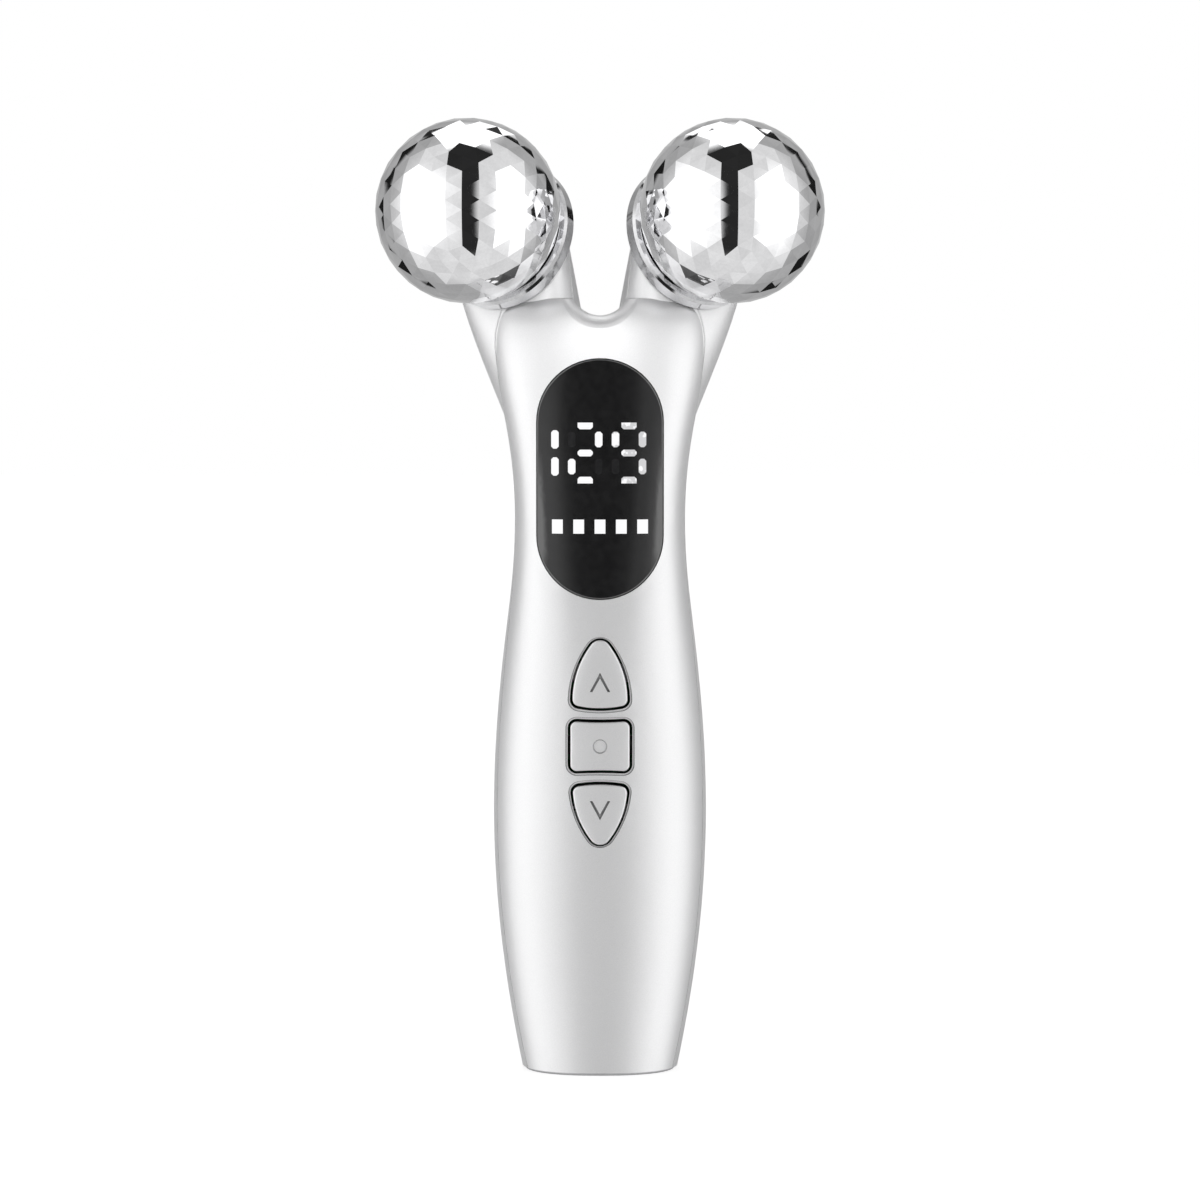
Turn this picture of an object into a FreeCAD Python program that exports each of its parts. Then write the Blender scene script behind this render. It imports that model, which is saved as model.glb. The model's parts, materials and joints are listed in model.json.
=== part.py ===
import FreeCAD, Part
import itertools
import math
import os

import Sketcher

from FreeCAD import Vector

# Driving sizes in millimetres and angles in degrees
# The front of the roller faces -Y, and the origin is the middle of its flat base
SIZES = {
    # Handle shells
    "handle_height": 134.5,
    "grip_half_width": 18.3,
    "grip_half_depth": 12.5,
    "wall": 1.8,
    "parting_depth": 4.2,
    "seam_gap": 0.16,
    "lip_height": 1.4,
    "lip_gap": 0.08,
    "crotch_radius": 5.0,
    "crotch_rise": 2.0,
    "crotch_fillet": 2.5,
    # Arms that carry the balls
    "arm_root_drop": 30.5,
    "arm_root_offset": 6.4,
    "arm_root_half_width": 6.4,
    "arm_root_half_depth": 8.4,
    "arm_bend_drop": 15.5,
    "arm_bend_offset": 8.8,
    "arm_bend_back": 0.3,
    "arm_bend_lean": 14.5,
    "arm_bend_half_width": 8.6,
    "arm_bend_half_depth": 9.0,
    "arm_neck_back": 2.2,
    "arm_neck_out": 1.2,
    "arm_neck_half_width": 10.6,
    "arm_neck_half_depth": 11.6,
    "head_step": 0.4,
    "head_room": 0.6,
    # Balls
    "ball_radius": 15.8,
    "ball_spread": 22.5,
    "ball_rise": 15.0,
    "ball_forward": 11.8,
    "ball_wall": 1.6,
    "ball_back": 11.0,
    "axle_tilt": 34.0,
    "axle_rise": 34.0,
    "facet_turn": 12.0,
    "facet_lean": 6.0,
    # Ball hubs, bushes, axles and collars
    "hub_radius": 5.0,
    "hub_flange_radius": 8.0,
    "hub_flange_thickness": 2.0,
    "hub_nose": 7.8,
    "bush_radius": 3.6,
    "bush_length": 4.0,
    "axle_radius": 2.5,
    "axle_play": 0.04,
    "axle_point": 0.9,
    "clip_radius": 4.2,
    "clip_thickness": 0.6,
    "clip_groove_radius": 2.0,
    "clip_slot": 2.6,
    "collar_gap": 0.5,
    "collar_thickness": 2.0,
    "collar_overhang": 1.6,
    "collar_lip_height": 0.6,
    "collar_lip_width": 1.3,
    "collar_lip_gap": 0.58,
    "collar_bevel": 0.4,
    "washer_radius": 4.5,
    "washer_thickness": 0.45,
    "carrier_radius": 6.0,
    "carrier_thickness": 2.6,
    "lug_radius": 3.6,
    "lug_thickness": 0.4,
    "lug_width": 2.4,
    "lug_reach": 6.5,
    "nut_radius": 4.0,
    "nut_thickness": 2.0,
    "axle_tail": 0.4,
    # Base cap and charging port
    "cap_rim": 0.5,
    "cap_inset": 0.2,
    "cap_plug": 2.1,
    "cap_plug_gap": 0.16,
    "cap_bevel": 0.3,
    "base_screw_offset": 7.6,
    "base_screw_back": 3.5,
    "base_screw_radius": 1.0,
    "base_screw_length": 8.0,
    "base_screw_head_radius": 1.9,
    "base_screw_head": 1.1,
    "base_screw_sink": 0.16,
    "base_screw_socket": 1.1,
    "post_radius": 2.3,
    "post_height": 11.0,
    "rib_thickness": 1.2,
    "port_half_width": 4.47,
    "port_thickness": 3.2,
    "port_length": 7.3,
    "port_wall": 0.35,
    "port_recess": 0.45,
    "port_gap": 0.16,
    "tongue_thickness": 0.7,
    "tongue_half_width": 3.3,
    "tongue_length": 4.8,
    # Display
    "window_half_width": 10.95,
    "window_length": 41.4,
    "window_drop": 30.8,
    "lens_gap": 0.12,
    "lens_proud": 0.2,
    "lens_thickness": 1.2,
    "lens_round": 0.35,
    "ledge_width": 1.2,
    "gasket_thickness": 0.2,
    "module_margin": 2.05,
    "module_length": 24.5,
    "module_drop": 2.6,
    "digit_pitch": 7.49,
    "digit_spread": 4.62,
    "digit_rise": 9.26,
    "digit_stroke": 1.28,
    "digit_bar": 1.14,
    "digit_bar_length": 2.6,
    "digit_upright_length": 2.65,
    "first_upright_length": 3.15,
    "digit_bevel": 0.36,
    "digits_rise": 4.5,
    "digits_offset": 2.53,
    "bar_width": 1.85,
    "bar_height": 2.42,
    "bar_pitch": 3.65,
    "bars_drop": 8.1,
    # Buttons and switches
    "pointer_half_width": 4.7,
    "pointer_corner": 1.15,
    "pointer_tip": 1.9,
    "up_drop": 18.6,
    "up_length": 11.8,
    "button_web": 2.4,
    "select_length": 8.3,
    "select_half_width": 5.1,
    "select_corner": 1.1,
    "select_waist": 0.22,
    "down_length": 10.6,
    "button_gap": 0.46,
    "button_rim": 0.36,
    "button_rim_depth": 0.3,
    "button_proud": 0.25,
    "button_round": 0.35,
    "button_skirt": 0.9,
    "button_travel": 0.5,
    "ear_gap": 0.1,
    "ear_reach": 1.3,
    "ear_height": 3.2,
    "mark_depth": 0.22,
    "mark_stroke": 0.45,
    "chevron_half_width": 1.75,
    "chevron_height": 3.3,
    "mark_foot": 2.85,
    "dimple_radius": 1.25,
    "stem_radius": 1.5,
    "switch_half_width": 2.6,
    "switch_height": 3.0,
    "plunger_radius": 1.0,
    "plunger_show": 0.8,
    "plunger_depth": 0.9,
    "plunger_play": 0.1,
    # Main board and battery
    "board_side_room": 6.9,
    "board_tail_half_width": 8.8,
    "board_bottom": 2.9,
    "board_shoulder": 13.0,
    "board_shoulder_rise": 3.0,
    "board_top_drop": 13.5,
    "board_depth": 7.5,
    "board_thickness": 1.2,
    "boss_radius": 2.1,
    "boss_inset": 2.4,
    "boss_low": 33.0,
    "boss_drop": 2.5,
    "board_screw_radius": 0.8,
    "board_screw_length": 4.2,
    "board_screw_head_radius": 1.5,
    "board_screw_head": 0.9,
    "screw_gap": 0.03,
    "controller_half_width": 3.5,
    "controller_drop": 7.7,
    "charger_half_width": 1.6,
    "charger_middle": 12.5,
    "chip_thickness": 1.0,
    "battery_side_room": 8.5,
    "battery_back_room": 4.3,
    "battery_bottom": 18.0,
    "battery_top_drop": 15.0,
    "battery_round": 1.6,
    "foam_spare": 0.3,
    "foam_margin": 1.5,
    "foam_gap": 0.3,
    "battery_rib_inset": 10.0,
    "battery_rib_half_width": 7.0,
    "rib_gap": 0.15,
    # Leads from the board to the ball axles
    "lead_radius": 0.6,
    "lead_offset": 7.5,
    "lead_drop": 8.0,
    "lead_rise": 9.0,
    "lead_bend": 3.5,
    # Cuts run past the faces they open by this much
    "overrun": 2.0,
}

# Handle sections from the base to the crotch: shares of the handle height, of the grip's
# half-width and of its half-depth, then the squareness of the section
STATION_SHARES = [
    (0.0, 0.738, 0.744, 2.3),
    (0.0595, 0.823, 0.816, 2.3),
    (0.149, 0.924, 0.896, 2.3),
    (0.252, 0.994, 0.968, 2.3),
    (0.357, 1.012, 1.0, 2.3),
    (0.461, 0.977, 0.992, 2.35),
    (0.565, 0.900, 0.968, 2.5),
    (0.646, 0.832, 0.936, 2.9),
    (0.721, 0.809, 0.92, 3.2),
    (0.795, 0.843, 0.904, 3.3),
    (0.863, 0.928, 0.88, 3.1),
    (0.914, 1.0, 0.832, 2.8),
    (0.9665, 1.016, 0.76, 2.5),
    (1.0, 0.93, 0.60, 2.2),
]
SECTION_POINTS = 32
ARM_POINTS = 24
ARM_NECK_SHARE = 0.5
BALL_FREQUENCY = 6
LIP_SHARE = 0.5
BOSS_ROOT_SHARE = 0.5
# Outline of the pointer buttons: shares of the half-width and of the length
POINTER_CORNER_SHARES = (1.0, 0.05)
UP_FLANK_SHARES = (0.81, 0.573)
DOWN_FLANK_SHARES = (0.77, 0.573)
POINTER_TIP_SHARE = 1.075

LEFT, RIGHT = -1, 1
START, END = 1, 2
H_AXIS, V_AXIS, ROOT = -1, -2, -1
FORWARD = Vector(0, -1, 0)
UP = Vector(0, 0, 1)

doc = FreeCAD.newDocument("facial_roller")
sheet = doc.addObject("Spreadsheet::Sheet", "sizes")
for row, (alias, number) in enumerate(SIZES.items(), start=1):
    sheet.set(f"A{row}", alias)
    sheet.set(f"B{row}", str(number))
    sheet.setAlias(f"B{row}", alias)
doc.recompute()


class Size:
    """A length with its number and the sheet formula that gives it."""

    def __init__(self, value, formula):
        self.value = float(value)
        self.formula = formula

    def __float__(self):
        return self.value

    def __neg__(self):
        return Size(-self.value, f"-({self.formula})")

    def __add__(self, other):
        return Size(self.value + float(other), f"({self.formula} + {formula_of(other)})")

    def __sub__(self, other):
        return Size(self.value - float(other), f"({self.formula} - {formula_of(other)})")

    def __mul__(self, share):
        return Size(self.value * float(share), f"({self.formula} * {formula_of(share)})")

    def __truediv__(self, share):
        return Size(self.value / float(share), f"({self.formula} / {formula_of(share)})")


class SheetSizes:
    """Reads a size from the sheet by its alias."""

    def __getattr__(self, alias):
        return Size(sheet.get(alias), f"sizes.{alias}")


def formula_of(term):
    return term.formula if isinstance(term, Size) else repr(float(term))


def leg(hypotenuse, side):
    """The other short side of a right triangle."""
    length = math.sqrt(float(hypotenuse) ** 2 - float(side) ** 2)
    return Size(length, f"sqrt({hypotenuse.formula}^2 - {side.formula}^2)")


s = SheetSizes()
NONE = Size(0, "0")

# Heights that follow the top of the grip
CROTCH_HEIGHT = s.handle_height + s.crotch_rise
ARM_ROOT_HEIGHT = s.handle_height - s.arm_root_drop
ARM_BEND_HEIGHT = s.handle_height - s.arm_bend_drop
BALL_HEIGHT = s.handle_height + s.ball_rise
WINDOW_MIDDLE = s.handle_height - s.window_drop
WINDOW_FOOT = WINDOW_MIDDLE - s.window_length / 2
UP_FOOT = WINDOW_FOOT - s.up_drop
SELECT_FOOT = UP_FOOT - s.button_web - s.select_length
DOWN_FOOT = SELECT_FOOT - s.button_web
BOARD_TOP = s.handle_height - s.board_top_drop
BATTERY_TOP = WINDOW_FOOT - s.battery_top_drop

# Depths before the middle, and half-widths, that follow the grip's section
FRONT_REACH = s.grip_half_depth + s.overrun
MODULE_FRONT = s.grip_half_depth - s.wall - s.module_drop
BOARD_FRONT = s.grip_half_depth - s.wall - s.board_depth
BOARD_BACK = BOARD_FRONT - s.board_thickness
FOAM_THICKNESS = s.board_screw_head + s.foam_spare
BATTERY_FRONT = BOARD_BACK - FOAM_THICKNESS
BATTERY_BACK = s.battery_back_room + s.wall - s.grip_half_depth
BOARD_HALF_WIDTH = s.grip_half_width - s.board_side_room
BATTERY_HALF_WIDTH = s.grip_half_width - s.battery_side_room
BOSS_OFFSET = BOARD_HALF_WIDTH - s.boss_inset

# Radii that follow the flat back of the ball
LIP_RADIUS = leg(s.ball_radius, s.ball_back) + s.collar_lip_gap
COLLAR_RADIUS = LIP_RADIUS + s.collar_lip_width
ARM_END_RADIUS = COLLAR_RADIUS - s.collar_overhang


# Sketched bodies
def bind(thing, **sizes):
    """Bind properties of an object to the sheet."""
    for name, length in sizes.items():
        thing.setExpression(name, length.formula)


def place(thing, x=NONE, y=NONE, z=NONE):
    """Bind an object's place to the sheet."""
    for name, length in (("x", x), ("y", y), ("z", z)):
        thing.setExpression(f"Placement.Base.{name}", length.formula)


def new_body(label):
    body = doc.addObject("PartDesign::Body", label)
    body.Label = label
    return body


def new_sketch(body, name, plane, offset):
    """A sketch on one of the body's own origin planes, moved along its normal."""
    sketch = body.newObject("Sketcher::SketchObject", name)
    support = next(item for item in body.Origin.OriginFeatures if item.Role == plane)
    sketch.AttachmentSupport = (support, [""])
    sketch.MapMode = "FlatFace"
    bind(sketch, **{"AttachmentOffset.Base.z": offset})
    return sketch


def pin(sketch, geometry, position, corner):
    """Hold a point of the sketch at two bound coordinates."""
    for kind, length, axis in (("DistanceX", corner[0], V_AXIS), ("DistanceY", corner[1], H_AXIS)):
        if float(length) == 0:
            sketch.addConstraint(Sketcher.Constraint("PointOnObject", geometry, position, axis))
        else:
            index = sketch.addConstraint(
                Sketcher.Constraint(kind, ROOT, START, geometry, position, float(length)))
            sketch.setExpression(f"Constraints[{index}]", length.formula)


def draw_outline(sketch, corners):
    """A closed outline of straight sides through bound corners."""
    points = [Vector(float(u), float(v), 0) for u, v in corners]
    count = len(points)
    for i in range(count):
        sketch.addGeometry(Part.LineSegment(points[i], points[(i + 1) % count]))
    for i in range(count):
        sketch.addConstraint(Sketcher.Constraint("Coincident", i, END, (i + 1) % count, START))
    for i, corner in enumerate(corners):
        pin(sketch, i, START, corner)


def draw_circles(sketch, centres, radius):
    for centre in centres:
        middle = Vector(float(centre[0]), float(centre[1]), 0)
        circle = sketch.addGeometry(Part.Circle(middle, UP, float(radius)))
        index = sketch.addConstraint(Sketcher.Constraint("Radius", circle, float(radius)))
        sketch.setExpression(f"Constraints[{index}]", radius.formula)
        pin(sketch, circle, 3, centre)


def rectangle(half_width, low, high):
    return [(-half_width, low), (half_width, low), (half_width, high), (-half_width, high)]


def pad(body, sketch, length):
    feature = body.newObject("PartDesign::Pad", f"{body.Name}_{sketch.Name}_pad")
    feature.Profile = sketch
    bind(feature, Length=length)
    return feature


def drill(body, sketch, depth):
    """Sink a sketch into the body to a depth, away from the sketch's normal."""
    before = body.Shape.Volume
    feature = body.newObject("PartDesign::Pocket", f"{body.Name}_{sketch.Name}_pocket")
    feature.Profile = sketch
    bind(feature, Length=depth)
    doc.recompute()
    if not body.Shape.Volume < before:
        raise RuntimeError(f"{body.Label}: the pocket cuts nothing")
    return feature


def plate(label, corners, front, thickness):
    """A plate in the plane of the board: its front face lies this far before the middle."""
    body = new_body(label)
    sketch = new_sketch(body, f"{label}_outline", "XZ_Plane", front - thickness)
    draw_outline(sketch, corners)
    pad(body, sketch, thickness)
    doc.recompute()
    return body


def turned(label, corners, placement=None):
    """A piece turned about its own Z axis from corners of radius and height."""
    body = new_body(label)
    sketch = new_sketch(body, f"{label}_profile", "XZ_Plane", NONE)
    draw_outline(sketch, corners)
    feature = body.newObject("PartDesign::Revolution", f"{label}_turn")
    feature.Profile = sketch
    feature.ReferenceAxis = (sketch, ["V_Axis"])
    feature.Angle = 360
    if placement:
        body.Placement = placement
    doc.recompute()
    return body


def ring(inner, outer, low, high):
    return [(inner, low), (outer, low), (outer, high), (inner, high)]


def solid_feature(label, shape, placement=None):
    """A free-form piece whose shape is worked out from the sheet."""
    feature = doc.addObject("Part::Feature", label)
    feature.Label = label
    feature.Shape = shape
    if placement:
        feature.Placement = placement
    return feature


# Frame of each ball: its centre, and axes with Z along the axle and X towards the lug's tail
def axle_direction(side):
    tilt = math.radians(s.axle_tilt)
    rise = math.radians(s.axle_rise)
    return Vector(side * math.sin(tilt) * math.cos(rise), -math.cos(tilt), math.sin(tilt) * math.sin(rise))


def ball_centre(side):
    return Vector(side * float(s.ball_spread), -float(s.ball_forward), float(BALL_HEIGHT))


def axle_frame(side):
    along = axle_direction(side)
    tail = Vector(side * along.z, 0, -abs(along.x)).normalize()
    return FreeCAD.Placement(ball_centre(side), FreeCAD.Rotation(tail, along.cross(tail), along, "ZXY"))


def behind(side, distance):
    """A point on the axle this far behind the ball's centre."""
    return ball_centre(side) - axle_direction(side) * float(distance)


# Distances behind the ball's centre at which the pieces on the axle meet
COLLAR_FACE = s.ball_back + s.collar_gap
ARM_END = COLLAR_FACE + s.collar_thickness
CARRIER_FACE = ARM_END + s.wall
LUG_FACE = CARRIER_FACE + s.carrier_thickness
NUT_FACE = LUG_FACE + s.lug_thickness
AXLE_END = NUT_FACE + s.nut_thickness + s.axle_tail


# Outer form of the handle, and the same form drawn in by a wall or let out by a step
def closed_curve(points):
    curve = Part.BSplineCurve()
    knots = [float(i) for i in range(len(points) + 1)]
    curve.interpolate(Points=points, PeriodicFlag=True, Parameters=knots)
    return Part.Wire(curve.toShape())


def handle_section(height, half_width, half_depth, squareness):
    points = []
    for i in range(SECTION_POINTS):
        turn = 2 * math.pi * i / SECTION_POINTS
        across = math.copysign(abs(math.cos(turn)) ** (2 / squareness), math.cos(turn))
        through = math.copysign(abs(math.sin(turn)) ** (2 / squareness), math.sin(turn))
        points.append(Vector(half_width * across, half_depth * through, height))
    return closed_curve(points)


def grip_form(inset):
    sections = []
    for height_share, width_share, depth_share, squareness in STATION_SHARES:
        height = float(s.handle_height) * height_share
        half_width = float(s.grip_half_width) * width_share - inset
        half_depth = float(s.grip_half_depth) * depth_share - inset
        sections.append(handle_section(height, half_width, half_depth, squareness))
    return Part.makeLoft(sections, True, False)


def crotch_notch(inset):
    """The rounded notch between the arms, open at the top."""
    radius = float(s.crotch_radius) + inset
    reach = float(FRONT_REACH)
    low = float(CROTCH_HEIGHT)
    bottom = Part.makeCylinder(radius, 2 * reach, Vector(0, -reach, low), Vector(0, 1, 0))
    opening = Part.makeBox(2 * radius, 2 * reach, float(s.handle_height), Vector(-radius, -reach, low))
    return bottom.fuse(opening)


def arm_row(middle, normal, half_width, half_depth, side):
    """A ring of control points whose curve is an ellipse square to a normal."""
    across = Vector(side, 0, 0) - normal * (normal.x * side)
    across.normalize()
    through = normal.cross(across)
    step = 2 * math.pi / ARM_POINTS
    spread = 3 / (2 + math.cos(step))
    return [middle + across * (half_width * spread * math.cos(step * i))
            + through * (half_depth * spread * math.sin(step * i)) for i in range(ARM_POINTS)]


def skinned_solid(rows):
    """A solid skinned over rows of control points, closed by a flat face at each end."""
    poles = [list(line) for line in zip(*rows)]
    degree = len(rows) - 1
    surface = Part.BSplineSurface()
    surface.buildFromPolesMultsKnots(
        poles, [1] * (ARM_POINTS + 1), [degree + 1] * 2, [float(i) for i in range(ARM_POINTS + 1)],
        [0.0, 1.0], True, False, 3, degree)
    side_face = surface.toShape()
    ends = [Part.Face(Part.Wire(edge)) for edge in side_face.Edges if edge.isClosed()]
    shell = Part.makeShell([side_face] + ends)
    shell.sewShape()
    return Part.makeSolid(shell)


def arm_form(side, inset):
    """An arm from inside the grip, leaning out and turning forwards to face along the axle."""
    lean = math.radians(s.arm_bend_lean)
    leaning = Vector(side * math.sin(lean), 0, math.cos(lean))
    facing = axle_direction(side)
    root = Vector(side * float(s.arm_root_offset), 0, float(ARM_ROOT_HEIGHT))
    bend = Vector(side * float(s.arm_bend_offset), float(s.arm_bend_back), float(ARM_BEND_HEIGHT))
    end = behind(side, ARM_END + s.head_step + inset)
    end_radius = ARM_END_RADIUS - s.head_step
    neck = bend + (end - bend) * ARM_NECK_SHARE
    neck += Vector(side * float(s.arm_neck_out), float(s.arm_neck_back), 0)
    rows = []
    for middle, normal, half_width, half_depth in (
            (root, UP, s.arm_root_half_width, s.arm_root_half_depth),
            (bend, leaning, s.arm_bend_half_width, s.arm_bend_half_depth),
            (neck, (leaning + facing).normalize(), s.arm_neck_half_width, s.arm_neck_half_depth),
            (end, facing, end_radius, end_radius)):
        rows.append(arm_row(middle, normal, float(half_width) - inset, float(half_depth) - inset, side))
    return skinned_solid(rows)


def arm_head(side, inset):
    """The domed back of an arm's end: half an ellipsoid about the axle."""
    radius = float(ARM_END_RADIUS) - inset
    face = ARM_END + inset
    length = float(AXLE_END + s.head_room + s.wall - face) - inset
    dome = Part.makeSphere(radius, Vector(0, 0, 0), UP, -90, 0, 360)
    stretch = FreeCAD.Matrix()
    stretch.scale(1, 1, length / radius)
    dome = dome.transformGeometry(stretch)
    dome.Placement = FreeCAD.Placement(behind(side, face), axle_frame(side).Rotation)
    return dome


def crotch_edges(shape):
    """The front and back edges of the notch's round bottom."""
    low = float(CROTCH_HEIGHT - s.crotch_radius)
    level = float(CROTCH_HEIGHT - s.crotch_radius / 2)
    edges = []
    for edge in shape.Edges:
        box = edge.BoundBox
        spans_middle = box.XMin < 0 < box.XMax and box.YMin * box.YMax > 0
        if spans_middle and low - float(s.wall) < box.ZMin < level:
            edges.append(edge)
    return edges


def handle_form(inset=0.0):
    """The Y-shaped handle without its balls, drawn in by an inset."""
    grip = grip_form(inset).cut(crotch_notch(inset))
    if inset == 0:
        grip = grip.makeFillet(float(s.crotch_fillet), crotch_edges(grip))
    arms = [make(side, inset) for side in (LEFT, RIGHT) for make in (arm_form, arm_head)]
    return grip.fuse(arms)


def slab(front, back, low=None):
    """A block across the whole handle between two planes square to Y, above a height."""
    reach = float(s.ball_spread + s.ball_radius + s.overrun)
    floor = -float(s.overrun) if low is None else float(low)
    height = float(BALL_HEIGHT + s.ball_radius) - floor
    return Part.makeBox(2 * reach, back - front, height, Vector(-reach, front, floor))


# Outlines on the front of the handle, as prisms square to it
def front_prism(outline, back=NONE):
    """Push an outline drawn at Y = 0 from a depth forwards past the front of the handle."""
    face = Part.Face(Part.Wire(outline))
    face.translate(Vector(0, float(back), 0))
    return face.extrude(FORWARD * (float(FRONT_REACH) + float(back)))


def at_front(across, height):
    return Vector(float(across), 0, float(height))


def pill_outline(half_width, half_length, middle):
    """An upright pill: two straight sides joined by half circles."""
    low = middle - (half_length - half_width)
    high = middle + (half_length - half_width)
    corners = [at_front(-half_width, low), at_front(half_width, low),
               at_front(half_width, high), at_front(-half_width, high)]
    foot = at_front(NONE, low - half_width)
    head = at_front(NONE, high + half_width)
    return [Part.Arc(corners[0], foot, corners[1]).toShape(),
            Part.LineSegment(corners[1], corners[2]).toShape(),
            Part.Arc(corners[2], head, corners[3]).toShape(),
            Part.LineSegment(corners[3], corners[0]).toShape()]


def uprights(prism):
    """The edges of a prism that run from front to back."""
    return [edge for edge in prism.Edges if edge.BoundBox.YLength > float(s.overrun)]


def pointer_prism(foot, length, flank_shares, grow):
    """A rounded triangle with bulging sides; a negative length points it down."""
    direction = math.copysign(1, float(length))
    tall = length * direction + grow * 2
    half_width = s.pointer_half_width + grow
    base = foot - grow * direction

    def point(across_share, along_share):
        return at_front(half_width * across_share, base + tall * (along_share * direction))

    corner_across, corner_along = POINTER_CORNER_SHARES
    flank_across, flank_along = flank_shares
    left, right = point(-corner_across, corner_along), point(corner_across, corner_along)
    tip = point(0, POINTER_TIP_SHARE)
    outline = [Part.Arc(left, point(0, 0), right).toShape(),
               Part.Arc(right, point(flank_across, flank_along), tip).toShape(),
               Part.Arc(tip, point(-flank_across, flank_along), left).toShape()]
    prism = front_prism(outline)
    side = float(s.pointer_half_width) / 2
    corners = [edge for edge in uprights(prism) if abs(edge.CenterOfMass.x) > side]
    prism = prism.makeFillet(float(s.pointer_corner + grow), corners)
    middle = [edge for edge in uprights(prism) if abs(edge.CenterOfMass.x) < float(s.mark_depth)]
    return prism.makeFillet(float(s.pointer_tip + grow), middle)


def select_prism(grow):
    """A rounded square whose top and bottom edges bend inwards."""
    half_width = s.select_half_width + grow
    low = SELECT_FOOT - grow
    high = SELECT_FOOT + s.select_length + grow
    corners = [at_front(-half_width, low - s.select_waist), at_front(half_width, low - s.select_waist),
               at_front(half_width, high + s.select_waist), at_front(-half_width, high + s.select_waist)]
    outline = [Part.Arc(corners[0], at_front(NONE, low), corners[1]).toShape(),
               Part.LineSegment(corners[1], corners[2]).toShape(),
               Part.Arc(corners[2], at_front(NONE, high), corners[3]).toShape(),
               Part.LineSegment(corners[3], corners[0]).toShape()]
    prism = front_prism(outline)
    return prism.makeFillet(float(s.select_corner + grow), uprights(prism))


def up_prism(grow):
    return pointer_prism(UP_FOOT, s.up_length, UP_FLANK_SHARES, grow)


def down_prism(grow):
    return pointer_prism(DOWN_FOOT, -s.down_length, DOWN_FLANK_SHARES, grow)


# Each button with its outline, the height of its stem and its half-width
BUTTONS = {
    "up": (up_prism, UP_FOOT + s.up_length / 2, s.pointer_half_width),
    "select": (select_prism, SELECT_FOOT + s.select_length / 2, s.select_half_width),
    "down": (down_prism, DOWN_FOOT - s.down_length / 2, s.pointer_half_width),
}


# Shells: outer form less its cavity, parted in front of the middle, with a lip behind the seam
OUTER = handle_form()
CAVITY = handle_form(float(s.wall))
HALF_WALL = float(s.wall) * LIP_SHARE
PARTING = -float(s.parting_depth)
LENS_SEAT = s.lens_thickness - s.lens_proud
GASKET_SEAT = LENS_SEAT + s.gasket_thickness


def window_prism(draw_in):
    outline = pill_outline(s.window_half_width - draw_in, s.window_length / 2 - draw_in, WINDOW_MIDDLE)
    return front_prism(outline)


def board_bosses():
    """The four screw bosses that carry the board, as (across, height) pairs."""
    places = []
    for height in (s.boss_low, WINDOW_FOOT - s.boss_drop):
        for across in (-BOSS_OFFSET, BOSS_OFFSET):
            places.append((across, height))
    return places


def front_cylinder(across, height, radius, front, back):
    """A cylinder along Y between two distances before the middle."""
    start = Vector(float(across), -float(front), float(height))
    return Part.makeCylinder(float(radius), float(front) - float(back), start, Vector(0, 1, 0))


def front_shell():
    half_seam = float(s.seam_gap) / 2
    front = -float(FRONT_REACH)
    wall = OUTER.cut(CAVITY).common(slab(front, PARTING - half_seam, s.cap_rim))
    rebate = handle_form(HALF_WALL - float(s.lip_gap))
    wall = wall.cut(rebate.common(slab(PARTING - float(s.lip_height + s.lip_gap), PARTING)))
    root = grip_form(float(s.wall) * BOSS_ROOT_SHARE)
    for across, height in board_bosses():
        boss = front_cylinder(across, height, s.boss_radius, FRONT_REACH, BOARD_FRONT)
        wall = wall.fuse(boss.common(root))
    for across, height in board_bosses():
        depth = BOARD_FRONT + s.board_screw_length
        wall = wall.cut(front_cylinder(across, height, s.board_screw_radius + s.screw_gap, depth, NONE))
    wall = wall.cut(window_prism(NONE).cut(grip_form(float(GASKET_SEAT))))
    wall = wall.cut(window_prism(s.ledge_width))
    rim_floor = grip_form(float(s.button_rim_depth))
    for prism, stem_height, half_width in BUTTONS.values():
        wall = wall.cut(prism(s.button_gap))
        wall = wall.cut(prism(s.button_gap + s.button_rim).cut(rim_floor))
    return wall


def base_posts():
    """Posts behind the board that take the base screws, each with a web to the rear wall."""
    posts = []
    for side in (LEFT, RIGHT):
        across = side * float(s.base_screw_offset)
        foot = Vector(across, float(s.base_screw_back), float(s.cap_rim + s.cap_plug))
        rise = float(s.post_height - s.cap_rim - s.cap_plug)
        post = Part.makeCylinder(float(s.post_radius), rise, foot)
        corner = Vector(across - float(s.rib_thickness) / 2, float(s.base_screw_back), foot.z)
        posts.append(post.fuse(Part.makeBox(float(s.rib_thickness), float(FRONT_REACH), rise, corner)))
    return posts


def battery_ribs():
    """Ribs on the rear wall that hold the battery against the board."""
    face = float(s.rib_gap - BATTERY_BACK)
    half = float(s.battery_rib_half_width)
    ribs = []
    for height in (s.battery_bottom + s.battery_rib_inset, BATTERY_TOP - s.battery_rib_inset):
        corner = Vector(-half, face, float(height))
        ribs.append(Part.makeBox(2 * half, float(FRONT_REACH), float(s.rib_thickness), corner))
    return ribs


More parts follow.
